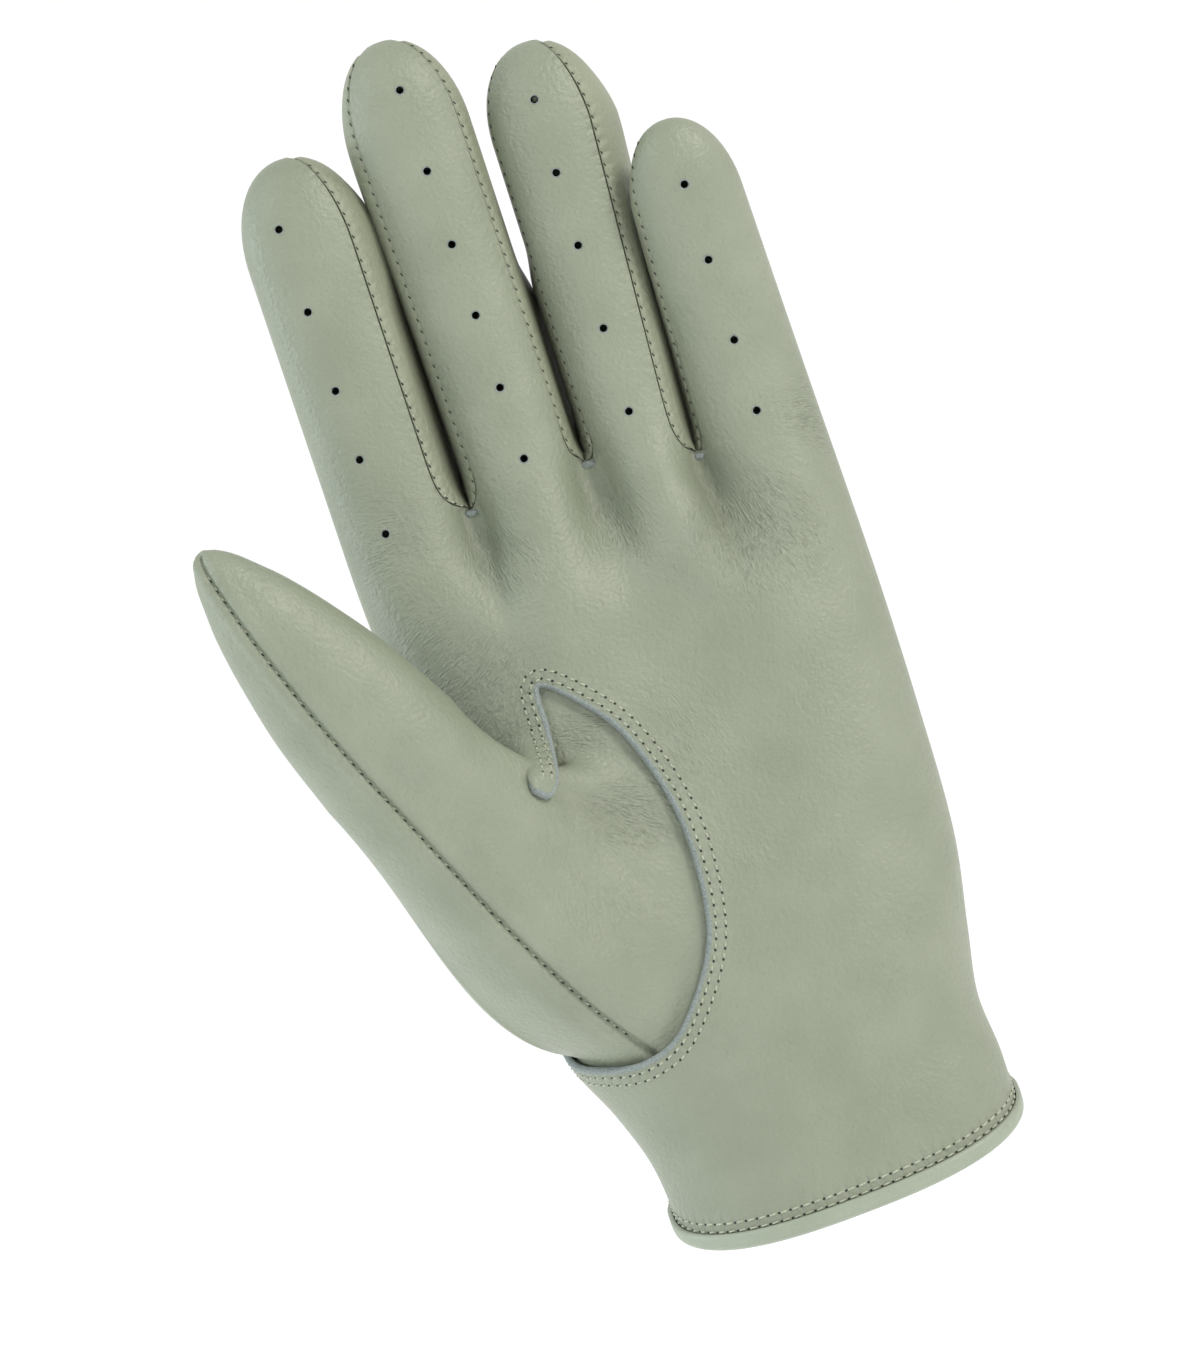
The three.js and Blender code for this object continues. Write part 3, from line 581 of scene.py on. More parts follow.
faces_palm_side = smoothstep(-skin_normals[:, 1] / 0.5)
skin_points += skin_normals * (fold_rise(skin_points, PALM_FOLDS) * faces_palm_side)[:, None]
skin_normals = point_normals(skin_points, skin_quads)
print("deepest and highest fold in mm:", fold_rise(skin_points, PALM_FOLDS).min().round(2),
      fold_rise(skin_points, PALM_FOLDS).max().round(2))

# %% [markdown]
# A panel of leather is the part of the skin between its seams. It is trimmed a little along its border,
# the border is tucked in as at a turned seam, and a second layer 1.2 mm below gives it its thickness.
# Blender has a modifier for thickness too, but it can't turn in the border of a seam.

# %% A sheet with thickness
WALL = 1.2
TUCK = 0.4


def border_edges(quads):
    starts, ends = [], []
    for k in range(4):
        starts.append(quads[:, k])
        ends.append(quads[:, (k + 1) % 4])
    start, end = np.concatenate(starts), np.concatenate(ends)
    face = np.tile(np.arange(len(quads)), 4)
    keep = start != end
    start, end, face = start[keep], end[keep], face[keep]
    size = max(start.max(), end.max()) + 1
    alone = ~np.isin(start * size + end, end * size + start)
    return start[alone], end[alone], face[alone]


def leather_sheet(points, normals, quads, trim, tuck, wall=WALL):
    start, end, face = border_edges(quads)
    faces = unit(quad_normals(points, quads))[face]
    inward = unit(np.cross(faces, points[end] - points[start]))
    pull = np.zeros_like(points)
    np.add.at(pull, start, inward)
    np.add.at(pull, end, inward)
    border = np.unique(start)
    reach = trim * 2 / np.maximum((pull[border] ** 2).sum(axis=1, keepdims=True), 0.8)
    outer, inner = points.copy(), points - normals * wall
    outer[border] += pull[border] * reach
    inner[border] += pull[border] * reach
    outer[border] -= normals[border] * tuck
    used = np.unique(quads)
    place = np.full(len(points), -1)
    place[used] = np.arange(len(used))
    vertices = np.concatenate([outer[used], inner[used]])
    over, count = place[quads], len(used)
    under = over[:, ::-1] + count
    rim = np.stack([place[end], place[start], place[start] + count, place[end] + count], axis=1)
    return vertices, np.concatenate([over, under, rim]), used


print("a panel is", WALL, "mm thick and tucked in by", TUCK, "mm")

# %% [markdown]
# The meshes are made from lists of points and squares. A square whose last two corners are the same is a
# triangle at a finger's tip. Edges that turn sharply, such as a cut rim, are marked sharp, and all others
# are shaded smoothly.

# %% Make a mesh object
SHARP_ANGLE = 50


def mesh_object(name, vertices, faces, sharp_angle=SHARP_ANGLE):
    mesh = bpy.data.meshes.new(name)
    shapes = [face if face[2] != face[3] else face[:3] for face in np.asarray(faces).tolist()]
    mesh.from_pydata((np.asarray(vertices) * MM).tolist(), [], shapes)
    mesh.validate()
    mesh.shade_smooth()
    mesh.set_sharp_from_angle(angle=np.radians(sharp_angle))
    piece = bpy.data.objects.new(name, mesh)
    bpy.context.scene.collection.objects.link(piece)
    return piece


def mark(mesh, name, values):
    mesh.attributes.new(name, "FLOAT", "POINT").data.foreach_set("value", values)


def panel_object(name, panel):
    vertices, faces, used = leather_sheet(
        skin_points, skin_normals, skin_quads[skin_panels == panel], SEAM_GAP / 2, TUCK)
    piece = mesh_object(name, vertices, faces)
    # the depth in a gap later sets the painted shade of the side strips
    mark(piece.data, "depth_in_gap", np.tile(skin_gaps[used], 2))
    return piece


print("edges look sharp where they turn by more than", SHARP_ANGLE, "degrees")

# %% [markdown]
# Fine wrinkles are too small for the mesh, so the material makes them. It only has to know in which
# direction they run and how deep they are, and both are stored on the mesh as attributes: the wrinkles of
# a patch spread out like rays from a point, near for a fan and far away for parallel lines.

# %% Where the fine wrinkles are
PALM_WRINKLES = table(
    "from_x from_z at_x at_z size spacing depth",
    (-28.6, 147, -25, 131, 11, 0.65, 0.6),
    (12, 147, -40, 112, 20, 0.7, 0.55),
    (10, 140, -44, 141, 13, 0.7, 0.4),
    (16, 146, 23, 122, 16, 0.65, 0.7),
    (-13, 152, 41, 137, 13, 0.75, 0.55),
    (-29, 143, -18, 142, 9, 0.65, 0.4),
    (-4, 149, -1, 132, 9, 0.65, 0.55),
    (-23, 147, -5, 88, 13, 0.7, 0.4),
    (-3, 140, 0, 64, 12, 0.8, 0.3),
    (60, 60, 22, 36, 18, 0.9, 0.3),
)
BACK_WRINKLES = table(
    "from_x from_z at_x at_z size spacing depth",
    (-28, 147, -26, 134, 8, 0.65, 0.4),
    (16, 144, 19, 130, 9, 0.65, 0.4),
    (-4, 149, -3, 135, 8, 0.65, 0.4),
)
ALONG_TO_ACROSS = 4.5


def kept_apart(mesh, depth, value, most=0.0):
    corners = np.empty(len(mesh.loops), int)
    mesh.loops.foreach_get("vertex_index", corners)
    sizes = np.empty(len(mesh.polygons), int)
    mesh.polygons.foreach_get("loop_total", sizes)
    starts = np.cumsum(sizes) - sizes
    lowest = np.minimum.reduceat(value[corners], starts)
    highest = np.maximum.reduceat(value[corners], starts)
    depth[corners[np.repeat(highest - lowest > most, sizes)]] = 0
    return depth


def mark_wrinkles(piece, wrinkles, facing=-1):
    mesh = piece.data
    points, normals = np.empty(len(mesh.vertices) * 3), np.empty(len(mesh.vertices) * 3)
    mesh.vertices.foreach_get("co", points)
    mesh.vertex_normals.foreach_get("vector", normals)
    points, faces_us = points.reshape(-1, 3) / MM, smoothstep(facing * normals[1::3] / 0.5)
    field = np.zeros((len(points), 3))
    deepest, second = np.zeros(len(points)), np.zeros(len(points))
    chosen = np.zeros(len(points), int)
    for number, patch in enumerate(wrinkles):
        away_x, away_z = points[:, 0] - patch["from_x"], points[:, 2] - patch["from_z"]
        reach = np.hypot(patch["at_x"] - patch["from_x"], patch["at_z"] - patch["from_z"])
        towards = np.arctan2(patch["at_x"] - patch["from_x"], patch["at_z"] - patch["from_z"])
        turn = np.arctan2(away_x, away_z) - towards
        turn = (turn + np.pi) % (2 * np.pi) - np.pi
        across = turn * reach / patch["spacing"]
        onward = np.hypot(away_x, away_z) / (patch["spacing"] * ALONG_TO_ACROSS)
        middle = np.hypot(points[:, 0] - patch["at_x"], points[:, 2] - patch["at_z"])
        depth = patch["depth"] * np.exp(-(middle / patch["size"]) ** 2)
        stronger = depth > deepest
        field[stronger] = np.stack([across, onward, 0 * across], axis=1)[stronger]
        chosen[stronger] = number
        second = np.maximum(second, np.minimum(deepest, depth))
        deepest = np.maximum(deepest, depth)
    depth = kept_apart(mesh, deepest * faces_us * smoothstep((deepest - second) / 0.4), chosen)
    mesh.attributes.new("wrinkle_field", "FLOAT_VECTOR", "POINT").data.foreach_set("vector", field.ravel())
    mark(mesh, "wrinkle_depth", depth)


palm = panel_object("palm_leather", PALM)
back = panel_object("back_leather", BACK)
strips = [panel_object("side_strip_" + crotch["name"], STRIP + k) for k, crotch in enumerate(CROTCHES)]
for piece in (back, *strips):
    mark_wrinkles(piece, BACK_WRINKLES, facing=1)
print("squares of the palm:", len(palm.data.polygons), "and of the back:", len(back.data.polygons))

# %% [markdown]
# The thumb is a piece of its own, set into a large hole in the palm. Its tube comes down on a root that
# spreads out under the palm leather, so each column of its skin is a tube, a curved landing and a flat
# border that the palm covers.

# %% The thumb's tables
THUMB_LENGTH, THUMB_WIDTH = 125.0, 36.0
THUMB_LEAN, THUMB_FORWARD = np.radians(24.1), np.radians(12)
THUMB_TIP = np.array([-77.9, -38, 150.3])
THUMB_SQUARENESS = 2.2
FLANGE_GAP = 0.8
THUMB_SECTIONS = table(
    "at width depth",
    (0.0007, 0.02, 0.016),
    (0.003, 0.041, 0.033),
    (0.01, 0.075, 0.06),
    (0.034, 0.132, 0.12),
    (0.07, 0.187, 0.175),
    (0.115, 0.247, 0.22),
    (0.19, 0.318, 0.265),
    (0.295, 0.392, 0.31),
    (0.42, 0.436, 0.34),
)
THUMB_ROOT = table(
    "at angle height flat dive",
    (-60, -58, 0.119, 5.5, 0.45),
    (-40, -46, 0.116, 5.5, 0.45),
    (-24, -36, 0.118, 5.5, 0.42),
    (0, -17, 0.14, 5.5, 0.4),
    (20, -2, 0.2, 6, 0.2),
    (40, 1, 0.28, 6, 0.1),
    (55, -0.5, 0.35, 6, 0),
    (68, -5, 0.41, 8, 0),
    (80, -15, 0.455, 17, 0),
    (92, -27, 0.468, 31, 0),
    (105, -38, 0.45, 22, 0),
    (120, -54, 0.435, 10, 0.1),
    (140, -80, 0.43, 8, 0.2),
    (160, -106, 0.405, 7, 0.3),
    (180, -119, 0.34, 6, 0.4),
    (205, -119, 0.25, 6, 0.5),
    (230, -113, 0.18, 6, 0.5),
    (250, -98, 0.143, 5.5, 0.5),
    (275, -78, 0.128, 5.5, 0.45),
    (300, -58, 0.119, 5.5, 0.45),
)
ROOT_CENTRE = dict(angle=-40, height=0.25)
print("rows of the thumb's root table:", len(THUMB_ROOT))

# %% [markdown]
# Three directions belong to the thumb: down from its tip, across it, and out of its front. The border of
# its root lies just under the palm's leather, so it needs the hand's surface and the way that faces.

# %% The thumb's directions and its place under the palm
THUMB_SEAM = -20
thumb_down = np.array([np.sin(THUMB_LEAN) * np.cos(THUMB_FORWARD), np.sin(THUMB_FORWARD),
                       -np.cos(THUMB_LEAN) * np.cos(THUMB_FORWARD)])
thumb_across = np.array([np.cos(THUMB_LEAN), 0, np.sin(THUMB_LEAN)])
thumb_front = unit(np.cross(thumb_across, thumb_down))
thumb_front *= -np.sign(thumb_front[1])


def hand_normal(angle, z):
    step = 0.5
    around = hand_point(angle + step, z) - hand_point(angle - step, z)
    upward = hand_point(angle, z + step) - hand_point(angle, z - step)
    return unit(np.cross(around, upward))


def flange_point(angle, z):
    return hand_point(angle, z) - hand_normal(angle, z) * (WALL + FLANGE_GAP)


print("the thumb points up along", (-thumb_down).round(2))

# %% [markdown]
# Each column of the thumb starts flat under the palm, dives or climbs along a smooth curve into the
# thumb's tube, and runs up to the tip. A curve that is fixed by its two ends and the direction at each of
# them does this without a kink, whatever the table says.

# %% The thumb's skin
def thumb_point(around, at):
    around, at = np.broadcast_arrays(np.asarray(around, float), np.asarray(at, float))
    power = 2 / THUMB_SQUARENESS
    sine = signed_power(np.sin(np.radians(around)), power)
    cosine = signed_power(np.cos(np.radians(around)), power)
    width = along(THUMB_SECTIONS, "width", at) * THUMB_WIDTH * sine
    depth = along(THUMB_SECTIONS, "depth", at) * THUMB_WIDTH * cosine
    centre = THUMB_TIP + at[..., None] * THUMB_LENGTH * thumb_down
    return centre + width[..., None] * thumb_across + depth[..., None] * thumb_front


def thumb_column(around, flat_rows, root_rows, tube_at):
    angle = along(THUMB_ROOT, "angle", around)
    height = along(THUMB_ROOT, "height", around) * GLOVE_LENGTH
    middle_angle, middle_height = ROOT_CENTRE["angle"], ROOT_CENTRE["height"] * GLOVE_LENGTH
    border = flange_point(angle, height)
    centre = flange_point(middle_angle, middle_height)
    share = along(THUMB_ROOT, "flat", around) / np.linalg.norm(border - centre)
    t = np.linspace(0, 1, flat_rows)
    flat = flange_point(mix(angle, middle_angle, share * t), mix(height, middle_height, share * t))
    foot = flat[-1]
    start = thumb_point(around, tube_at[0])
    reach = np.linalg.norm(start - foot)
    inward = -hand_normal(mix(angle, middle_angle, share), foot[2])
    landing = unit(mix(unit(border - foot), inward, along(THUMB_ROOT, "dive", around))) * reach
    t = 1 - np.arange(1, root_rows)[:, None] / root_rows
    root = (start * (1 + 2 * t) * (1 - t) ** 2 + thumb_down * reach * t * (1 - t) ** 2
            + foot * t ** 2 * (3 - 2 * t) + landing * t ** 2 * (t - 1))
    return np.concatenate([flat, root, thumb_point(around, tube_at)])


print("foot of the thumb at its seam:", thumb_column(THUMB_SEAM, 2, 2, [0.4])[0].round(1))

# %% [markdown]
# The columns stand 2 degrees apart and closer beside the seam, where the leather sinks sharply. The rows
# crowd towards the tip, so its rounding stays smooth.

# %% Columns of the thumb
FLAT_ROWS, ROOT_ROWS, TUBE_ROWS = 16, 56, 60
TIP_CROWDING = 1.4


def thumb_grid():
    even = np.arange(-60, 300, 2)
    right_of_seam = np.array([0.5, 1.2, 2.1, 3.2, 4.5, 6, 8])
    beside_seam = THUMB_SEAM + np.concatenate([-right_of_seam[::-1], [0], right_of_seam])
    even = even[np.abs(even - THUMB_SEAM) > 9.5]
    around = np.sort(np.concatenate([even, beside_seam]))
    tube_end = THUMB_SECTIONS[-1]["at"]
    tube_at = tube_end * (1 - np.linspace(0, 1, TUBE_ROWS)) ** TIP_CROWDING
    tube_at = np.maximum(tube_at, THUMB_SECTIONS[0]["at"])
    tube_at = np.unique(tube_at)[::-1]
    columns = [thumb_column(a, FLAT_ROWS, ROOT_ROWS, tube_at) for a in around]
    return around, np.array(columns)


thumb_around, thumb_rows = thumb_grid()
thumb_ids = np.arange(thumb_rows[..., 0].size).reshape(thumb_rows.shape[:2])
print("thumb columns and rows:", thumb_ids.shape)

# %% [markdown]
# The thumb's leather gathers where it is sewn in. The folds on its inner side fan out from the tip of the
# tongue, and the fine wrinkles follow them. The seam down the middle lies in a narrow groove between two
# low swellings, because the turned-in leather is thick there.

# %% Folds of the thumb
THUMB_FOLDS = table(
    "x0 z0 x1 z1 width rise",
    (-29, 86.5, -9, 70, 1.5, -0.9),
    (-27, 89.5, -11, 79, 2.4, 0.7),
    (-24, 93, -12, 88, 1.8, -0.5),
    (-28.5, 82, -18, 60, 1.4, -0.6),
    (-27, 79, -14, 64, 1.6, 0.5),
    (-33, 79, -24, 58, 1.6, -0.4),
    (-36, 84, -52, 104, 4, 0.6),
    (-56, 96, -38, 60, 6, -0.6),
    (-44, 80, -30, 56, 5, 0.5),
)
THUMB_WRINKLES = table(
    "from_x from_z at_x at_z size spacing depth",
    (-34, 90, -18, 77, 10, 0.8, 0.75),
    (-80, 115, -20, 96, 8, 0.8, 0.55),
    (-34, 92, -25, 64, 13, 0.9, 0.4),
    (-90, 60, -52, 86, 13, 0.9, 0.25),
)


GROOVE_DEPTH, GROOVE_WIDTH = 0.8, 0.55
SWELLING, SWELLING_AWAY, SWELLING_WIDTH = 0.45, 1.8, 1.2


def seam_groove():
    away = (thumb_around[:, None] - THUMB_SEAM + 180) % 360 - 180
    breadth = np.linalg.norm(np.diff(thumb_rows, axis=0, append=thumb_rows[:1]), axis=2)
    step = np.diff(thumb_around, append=thumb_around[0] + 360)[:, None]
    seam_row = np.argmin(np.abs(thumb_around - THUMB_SEAM))
    distance = away * (breadth / step)[seam_row][None]
    groove = np.exp(-(distance / GROOVE_WIDTH) ** 2)
    swellings = SWELLING * np.exp(-((np.abs(distance) - SWELLING_AWAY) / SWELLING_WIDTH) ** 2)
    return GROOVE_DEPTH * (swellings - groove)


print("deepest point of the groove in mm:", seam_groove().min().round(2))

# %% [markdown]
# Squares join the columns, and the last ring is closed at the tip. Then the surface is moved along the
# way it faces, by the folds and the groove, and gets its thickness like the other panels.

# %% Make the thumb
thumb_points = np.concatenate([thumb_rows.reshape(-1, 3), THUMB_TIP[None]])
pole = np.full(len(thumb_ids), len(thumb_points) - 1)
last_ring = thumb_ids[:, -1]
cap = np.stack([last_ring, np.roll(last_ring, -1), pole, pole], axis=1)
thumb_quads = np.concatenate([squares_between(thumb_ids), cap])
thumb_normals = point_normals(thumb_points, thumb_quads)
rise = fold_rise(thumb_points, THUMB_FOLDS) * smoothstep(-thumb_normals[:, 1] / 0.5)
rise[:-1] += seam_groove().reshape(-1)
thumb_points += thumb_normals * rise[:, None]
thumb_normals = point_normals(thumb_points, thumb_quads)
vertices, faces, used = leather_sheet(thumb_points, thumb_normals, thumb_quads, 0, 0)
thumb = mesh_object("thumb_leather", vertices, faces, sharp_angle=75)
mark_wrinkles(thumb, THUMB_WRINKLES)
print("squares of the thumb:", len(thumb.data.polygons))

# %% [markdown]
# The palm has a large hole for the thumb, with a pointed tongue that reaches down between thumb and
# palm. A table of its corners, in angle round the hand and height, is drawn through with a smooth curve.

# %% The outline of the thumb's opening
OPENING = table(
    "angle at",
    (-22.2, 0.4454), (-24, 0.41), (-25.6, 0.373), (-29.5, 0.3615), (-34, 0.372), (-50, 0.4),
    (-80, 0.405), (-104, 0.385), (-112, 0.32), (-111, 0.24), (-103, 0.18), (-89, 0.156), (-60, 0.14),
    (-37, 0.1355), (-21, 0.151), (-7.1, 0.2037), (-3.1, 0.28), (-4.5, 0.3521), (-9.8, 0.4058),
)


def curve_through(bends, steps):
    bends = np.asarray(bends, float)
    count = len(bends)
    points = []
    for i in range(count):
        p0, p1, p2, p3 = (bends[(i + k) % count] for k in (-1, 0, 1, 2))
        gaps = [max(np.linalg.norm(b - a), 1e-6) ** 0.5 for a, b in ((p0, p1), (p1, p2), (p2, p3))]
        k0, k1 = 0, gaps[0]
        k2, k3 = k1 + gaps[1], k1 + gaps[1] + gaps[2]
        for k in k1 + (k2 - k1) * np.arange(steps) / steps:
            a1 = (k1 - k) / (k1 - k0) * p0 + (k - k0) / (k1 - k0) * p1
            a2 = (k2 - k) / (k2 - k1) * p1 + (k - k1) / (k2 - k1) * p2
            a3 = (k3 - k) / (k3 - k2) * p2 + (k - k2) / (k3 - k2) * p3
            b1 = (k2 - k) / (k2 - k0) * a1 + (k - k0) / (k2 - k0) * a2
            b2 = (k3 - k) / (k3 - k1) * a2 + (k - k1) / (k3 - k1) * a3
            points.append((k2 - k) / (k2 - k1) * b1 + (k - k1) / (k2 - k1) * b2)
    return np.array(points)


opening_bends = [(row["angle"], row["at"] * GLOVE_LENGTH) for row in OPENING]
opening = curve_through(opening_bends, 12)
print("points of the opening's outline:", len(opening))

# %% [markdown]
# A leather worker cuts with a knife and a punch. Here a block with the opening's outline and a short round
# punch for each hole stand in for them, and Blender's Boolean modifier takes them out of the palm. The
# exact solver leaves clean edges where the blocks pass through the leather.

# %% Blocks to cut with
BLOCK_OUTSIDE, BLOCK_INSIDE = 45, 6


def facing_out(mesh):
    shape = bmesh.new()
    shape.from_mesh(mesh)
    bmesh.ops.recalc_face_normals(shape, faces=shape.faces)
    shape.to_mesh(mesh)
    shape.free()
    return mesh


def plain_block(name, rings, cap_outline):
    fills = [list(f) for f in tessellate_polygon([[Vector((x, y, 0)) for x, y in cap_outline]])]
    count = len(cap_outline)
    faces = [[i, (i + 1) % count, (i + 1) % count + count, i + count] for i in range(count)]
    faces += fills + [[corner + count for corner in reversed(fill)] for fill in fills]
    mesh = bpy.data.meshes.new(name)
    mesh.from_pydata((np.concatenate(rings) * MM).tolist(), [], faces)
    return facing_out(mesh)


def opening_block():
    level = unit(hand_normal(opening[:, 0], opening[:, 1]) * [1, 1, 0])
    start = hand_point(opening[:, 0], opening[:, 1])
    rings = [start + level * BLOCK_OUTSIDE, start - level * BLOCK_INSIDE]
    return plain_block("opening_block", rings, opening)


thumb_block = opening_block()
print("corners of the opening's block:", len(thumb_block.vertices))

# %% [markdown]
# The ventilation holes stand in one row down the middle of each finger. Their heights were read from the
# picture, and each row runs straight from a place near the tip to a place near the root.

# %% The punched holes
HOLES = table(
    "top bottom heights",
    (-0.471, -0.468, [0.8517, 0.7829, 0.7171, 0.6596, 0.5975]),
    (-0.153, -0.158, [0.9242, 0.8571, 0.7963, 0.7375, 0.6775, 0.6183]),
    (0.095, 0.071, [0.8842, 0.8238, 0.7638, 0.6954, 0.6267]),
    (0.321, 0.313, [0.7804, 0.7188, 0.6529, 0.5946]),
)
HOLE_DIAMETER = 1.9


def hole_places():
    places = []
    for i, row in enumerate(HOLES):
        shares = np.linspace(0, 1, len(row["heights"]))
        for at, share in zip(row["heights"], shares):
            front = finger_point(FINGERS[i], crotch_height(i), 0, at * GLOVE_LENGTH)
            places.append((mix(row["top"], row["bottom"], share) * PALM_WIDTH, front[1], at * GLOVE_LENGTH))
    return np.array(places)


def punch_mesh(x, y, z, sides=24):
    turn = 2 * np.pi * np.arange(sides) / sides
    ring = np.stack([np.cos(turn), 0 * turn, np.sin(turn)], axis=1) * HOLE_DIAMETER / 2 + [x, 0, z]
    rings = [ring + [0, y - 14, 0], ring + [0, y + 6, 0]]
    return plain_block("punch", rings, ring[:, [0, 2]])


holes = hole_places()
print("holes:", len(holes))

# %% [markdown]
# All the blocks are joined to one cutter, so the palm is cut only once. The cut mesh is new, so it gets
# its smooth shading, its sharp rims and the marks of its wrinkles afterwards.

# %% Cut the opening and the holes
def joined(name, meshes):
    shape = bmesh.new()
    for mesh in meshes:
        shape.from_mesh(mesh)
        bpy.data.meshes.remove(mesh)
    whole = bpy.data.meshes.new(name)
    shape.to_mesh(whole)
    shape.free()
    return whole


def cut_away(piece, cutter_mesh):
    cutter = bpy.data.objects.new("cutter", cutter_mesh)
    bpy.context.scene.collection.objects.link(cutter)
    cutting = piece.modifiers.new("cut", "BOOLEAN")
    cutting.operation = "DIFFERENCE"
    cutting.solver = "EXACT"
    cutting.object = cutter
    graph = bpy.context.evaluated_depsgraph_get()
    result = bpy.data.meshes.new_from_object(piece.evaluated_get(graph))
    piece.modifiers.clear()
    piece.data = result
    bpy.data.objects.remove(cutter)
    result.shade_smooth()
    result.set_sharp_from_angle(angle=np.radians(SHARP_ANGLE))


cut_away(palm, joined("cutters", [thumb_block] + [punch_mesh(*place) for place in holes]))
mark_wrinkles(palm, PALM_WRINKLES)
print("squares of the palm after cutting:", len(palm.data.polygons))

# %% [markdown]
# Above the thumb the palm ends in a rounded tongue that lies on top of the thumb's leather. The thumb rises
# steeply to the left there, so the tongue climbs with it: its points move forward along a smooth slope
# that begins at the right of the tongue and fades out above it.

# %% Lay the tongue over the thumb
TONGUE = dict(right=-22, left=-33, slope=1.07, full_below=90, flat_above=99)


def tongue_lift(points):
    x, y, z = points[..., 0], points[..., 1], points[..., 2]
    inside = np.maximum(TONGUE["right"] - x, 0)
    lift = TONGUE["slope"] * inside * smoothstep(inside / 4)
    height = (z - TONGUE["full_below"]) / (TONGUE["flat_above"] - TONGUE["full_below"])
    lift *= (1 - smoothstep(height)) * (1 - smoothstep((TONGUE["left"] - x) / 4))
    return np.where((y < -5) & (z > 80), lift, 0)


def laid_over(points):
    return points - tongue_lift(points)[..., None] * [0, 1, 0]


flat_palm = np.array([corner.co for corner in palm.data.vertices]) / MM
palm.data.vertices.foreach_set("co", (laid_over(flat_palm) * MM).ravel())
palm.data.update()
print("the tongue rises by up to", tongue_lift(flat_palm).max().round(1), "mm")

# %% [markdown]
# The wrist ends in a strip of leather rolled over the raw edge. Its section is a narrow U with a round
# bottom, swept once round the rim.

# %% The wrist binding
BINDING_HEIGHT = 3.4


def binding_section():
    outer, inner = SEAM_GAP + BINDING_WALL, -WALL - SEAM_GAP - BINDING_WALL
    middle, radius = (outer + inner) / 2, (outer - inner) / 2
    turn = np.radians(np.arange(0, 181, 15))
    bottom = [(middle + radius * np.cos(t), 1.3 - 1.3 * np.sin(t)) for t in turn]
    top, slot_side = BINDING_HEIGHT, inner + BINDING_WALL
    inside = [(inner, top - 0.3), (inner + 0.3, top), (slot_side, top)]
    slot = [(slot_side, 1.6), (middle, BINDING_WALL), (SEAM_GAP, 1.6), (SEAM_GAP, top)]
    outside = [(outer - 0.35, top), (outer - 0.05, top - 0.4), (outer, 2.2)]
    return np.array(bottom + inside + slot + outside)


def swept(lines):
    grid = np.stack(list(lines), axis=1)
    ids = np.arange(grid[..., 0].size).reshape(grid.shape[:2])
    return grid.reshape(-1, 3), squares_between(ids, closed=True)


def rolled_strip():
    around = np.arange(0, 360, 1.5)
    rim = rim_height(around)
    level = unit(hand_normal(around, rim) * [1, 1, 0])
    lines = [hand_point(around, rim + upward) + level * out for out, upward in binding_section()]
    points, squares = swept(lines)
    return points, squares[:, ::-1]


binding = mesh_object("wrist_binding", *rolled_strip(), sharp_angle=60)
print("squares of the binding:", len(binding.data.polygons))

# %% [markdown]
# Edges and stitches lie on the leather, beside its border. A search tree of a piece's squares finds the
# nearest place on the leather, and the way it faces there, for any point.

# %% Find places on the leather
def tree_of(piece):
    mesh = piece.data
    return BVHTree.FromPolygons([v.co / MM for v in mesh.vertices], [p.vertices[:] for p in mesh.polygons])


def on_surface(tree, points):
    places, normals = [], []
    for point in points:
        place, normal = tree.find_nearest(Vector(point))[:2]
        places.append(place)
        normals.append(normal)
    return np.array(places), np.array(normals)


palm_tree = tree_of(palm)
print("the middle of the palm faces", on_surface(palm_tree, [hand_point(20, 60)])[1][0].round(2))

# %% [markdown]
# The border of the thumb's opening and its rows of stitches are all the same line, shifted outwards by
# different distances. The outline is given by angle and height, so a shift in millimetres has to be turned
# into degrees round the hand and millimetres up: two equations, solved for every point at once.

# %% Lines beside the opening
def shifted_opening(distance):
    angle, z = opening[:, 0], opening[:, 1]
    place = hand_point(angle, z)
    normal = hand_normal(angle, z)
    onward = unit(np.roll(place, -1, axis=0) - np.roll(place, 1, axis=0))
    outward = unit(np.cross(onward, normal))
    if np.sum(outward * (place - place.mean(axis=0))) < 0:
        outward = -outward
    round_step = hand_point(angle + 0.5, z) - hand_point(angle - 0.5, z)
    up_step = hand_point(angle, z + 0.5) - hand_point(angle, z - 0.5)
    metric = np.stack([(round_step ** 2).sum(1), (round_step * up_step).sum(1), (up_step ** 2).sum(1)])
    along_round, along_up = (round_step * outward).sum(1), (up_step * outward).sum(1)
    spread_out = metric[0] * metric[2] - metric[1] ** 2
    turn = (along_round * metric[2] - along_up * metric[1]) / spread_out * distance
    climb = (along_up * metric[0] - along_round * metric[1]) / spread_out * distance
    return hand_point(angle + turn, z + climb)


moved_by = np.linalg.norm(shifted_opening(1) - shifted_opening(0), axis=1)
print("outline moved out by", moved_by.mean().round(2), "mm")

# %% [markdown]
# The cut edge of the palm round the thumb is left raw. It shows the fluffy blue-grey inside of the
# leather as a narrow band, so a thin band is swept along the outline, rounded over the edge. Its
# directions are averaged over a few neighbours, which takes out the small steps of the mesh.

# %% The raw edge
RAW_PROFILE = [(0.36, -0.05), (0.3, 0.05), (0.1, 0.1), (-0.12, 0.06), (-0.4, -0.12), (-0.6, -0.5),
               (-0.66, -1.05), (-0.5, -1.2), (-0.35, -0.8), (0.0, -0.35)]


def softened(vectors, reach=4):
    return unit(sum(np.roll(vectors, k, axis=0) for k in range(-reach, reach + 1)))


def opening_row(distance):
    return laid_over(shifted_opening(distance))


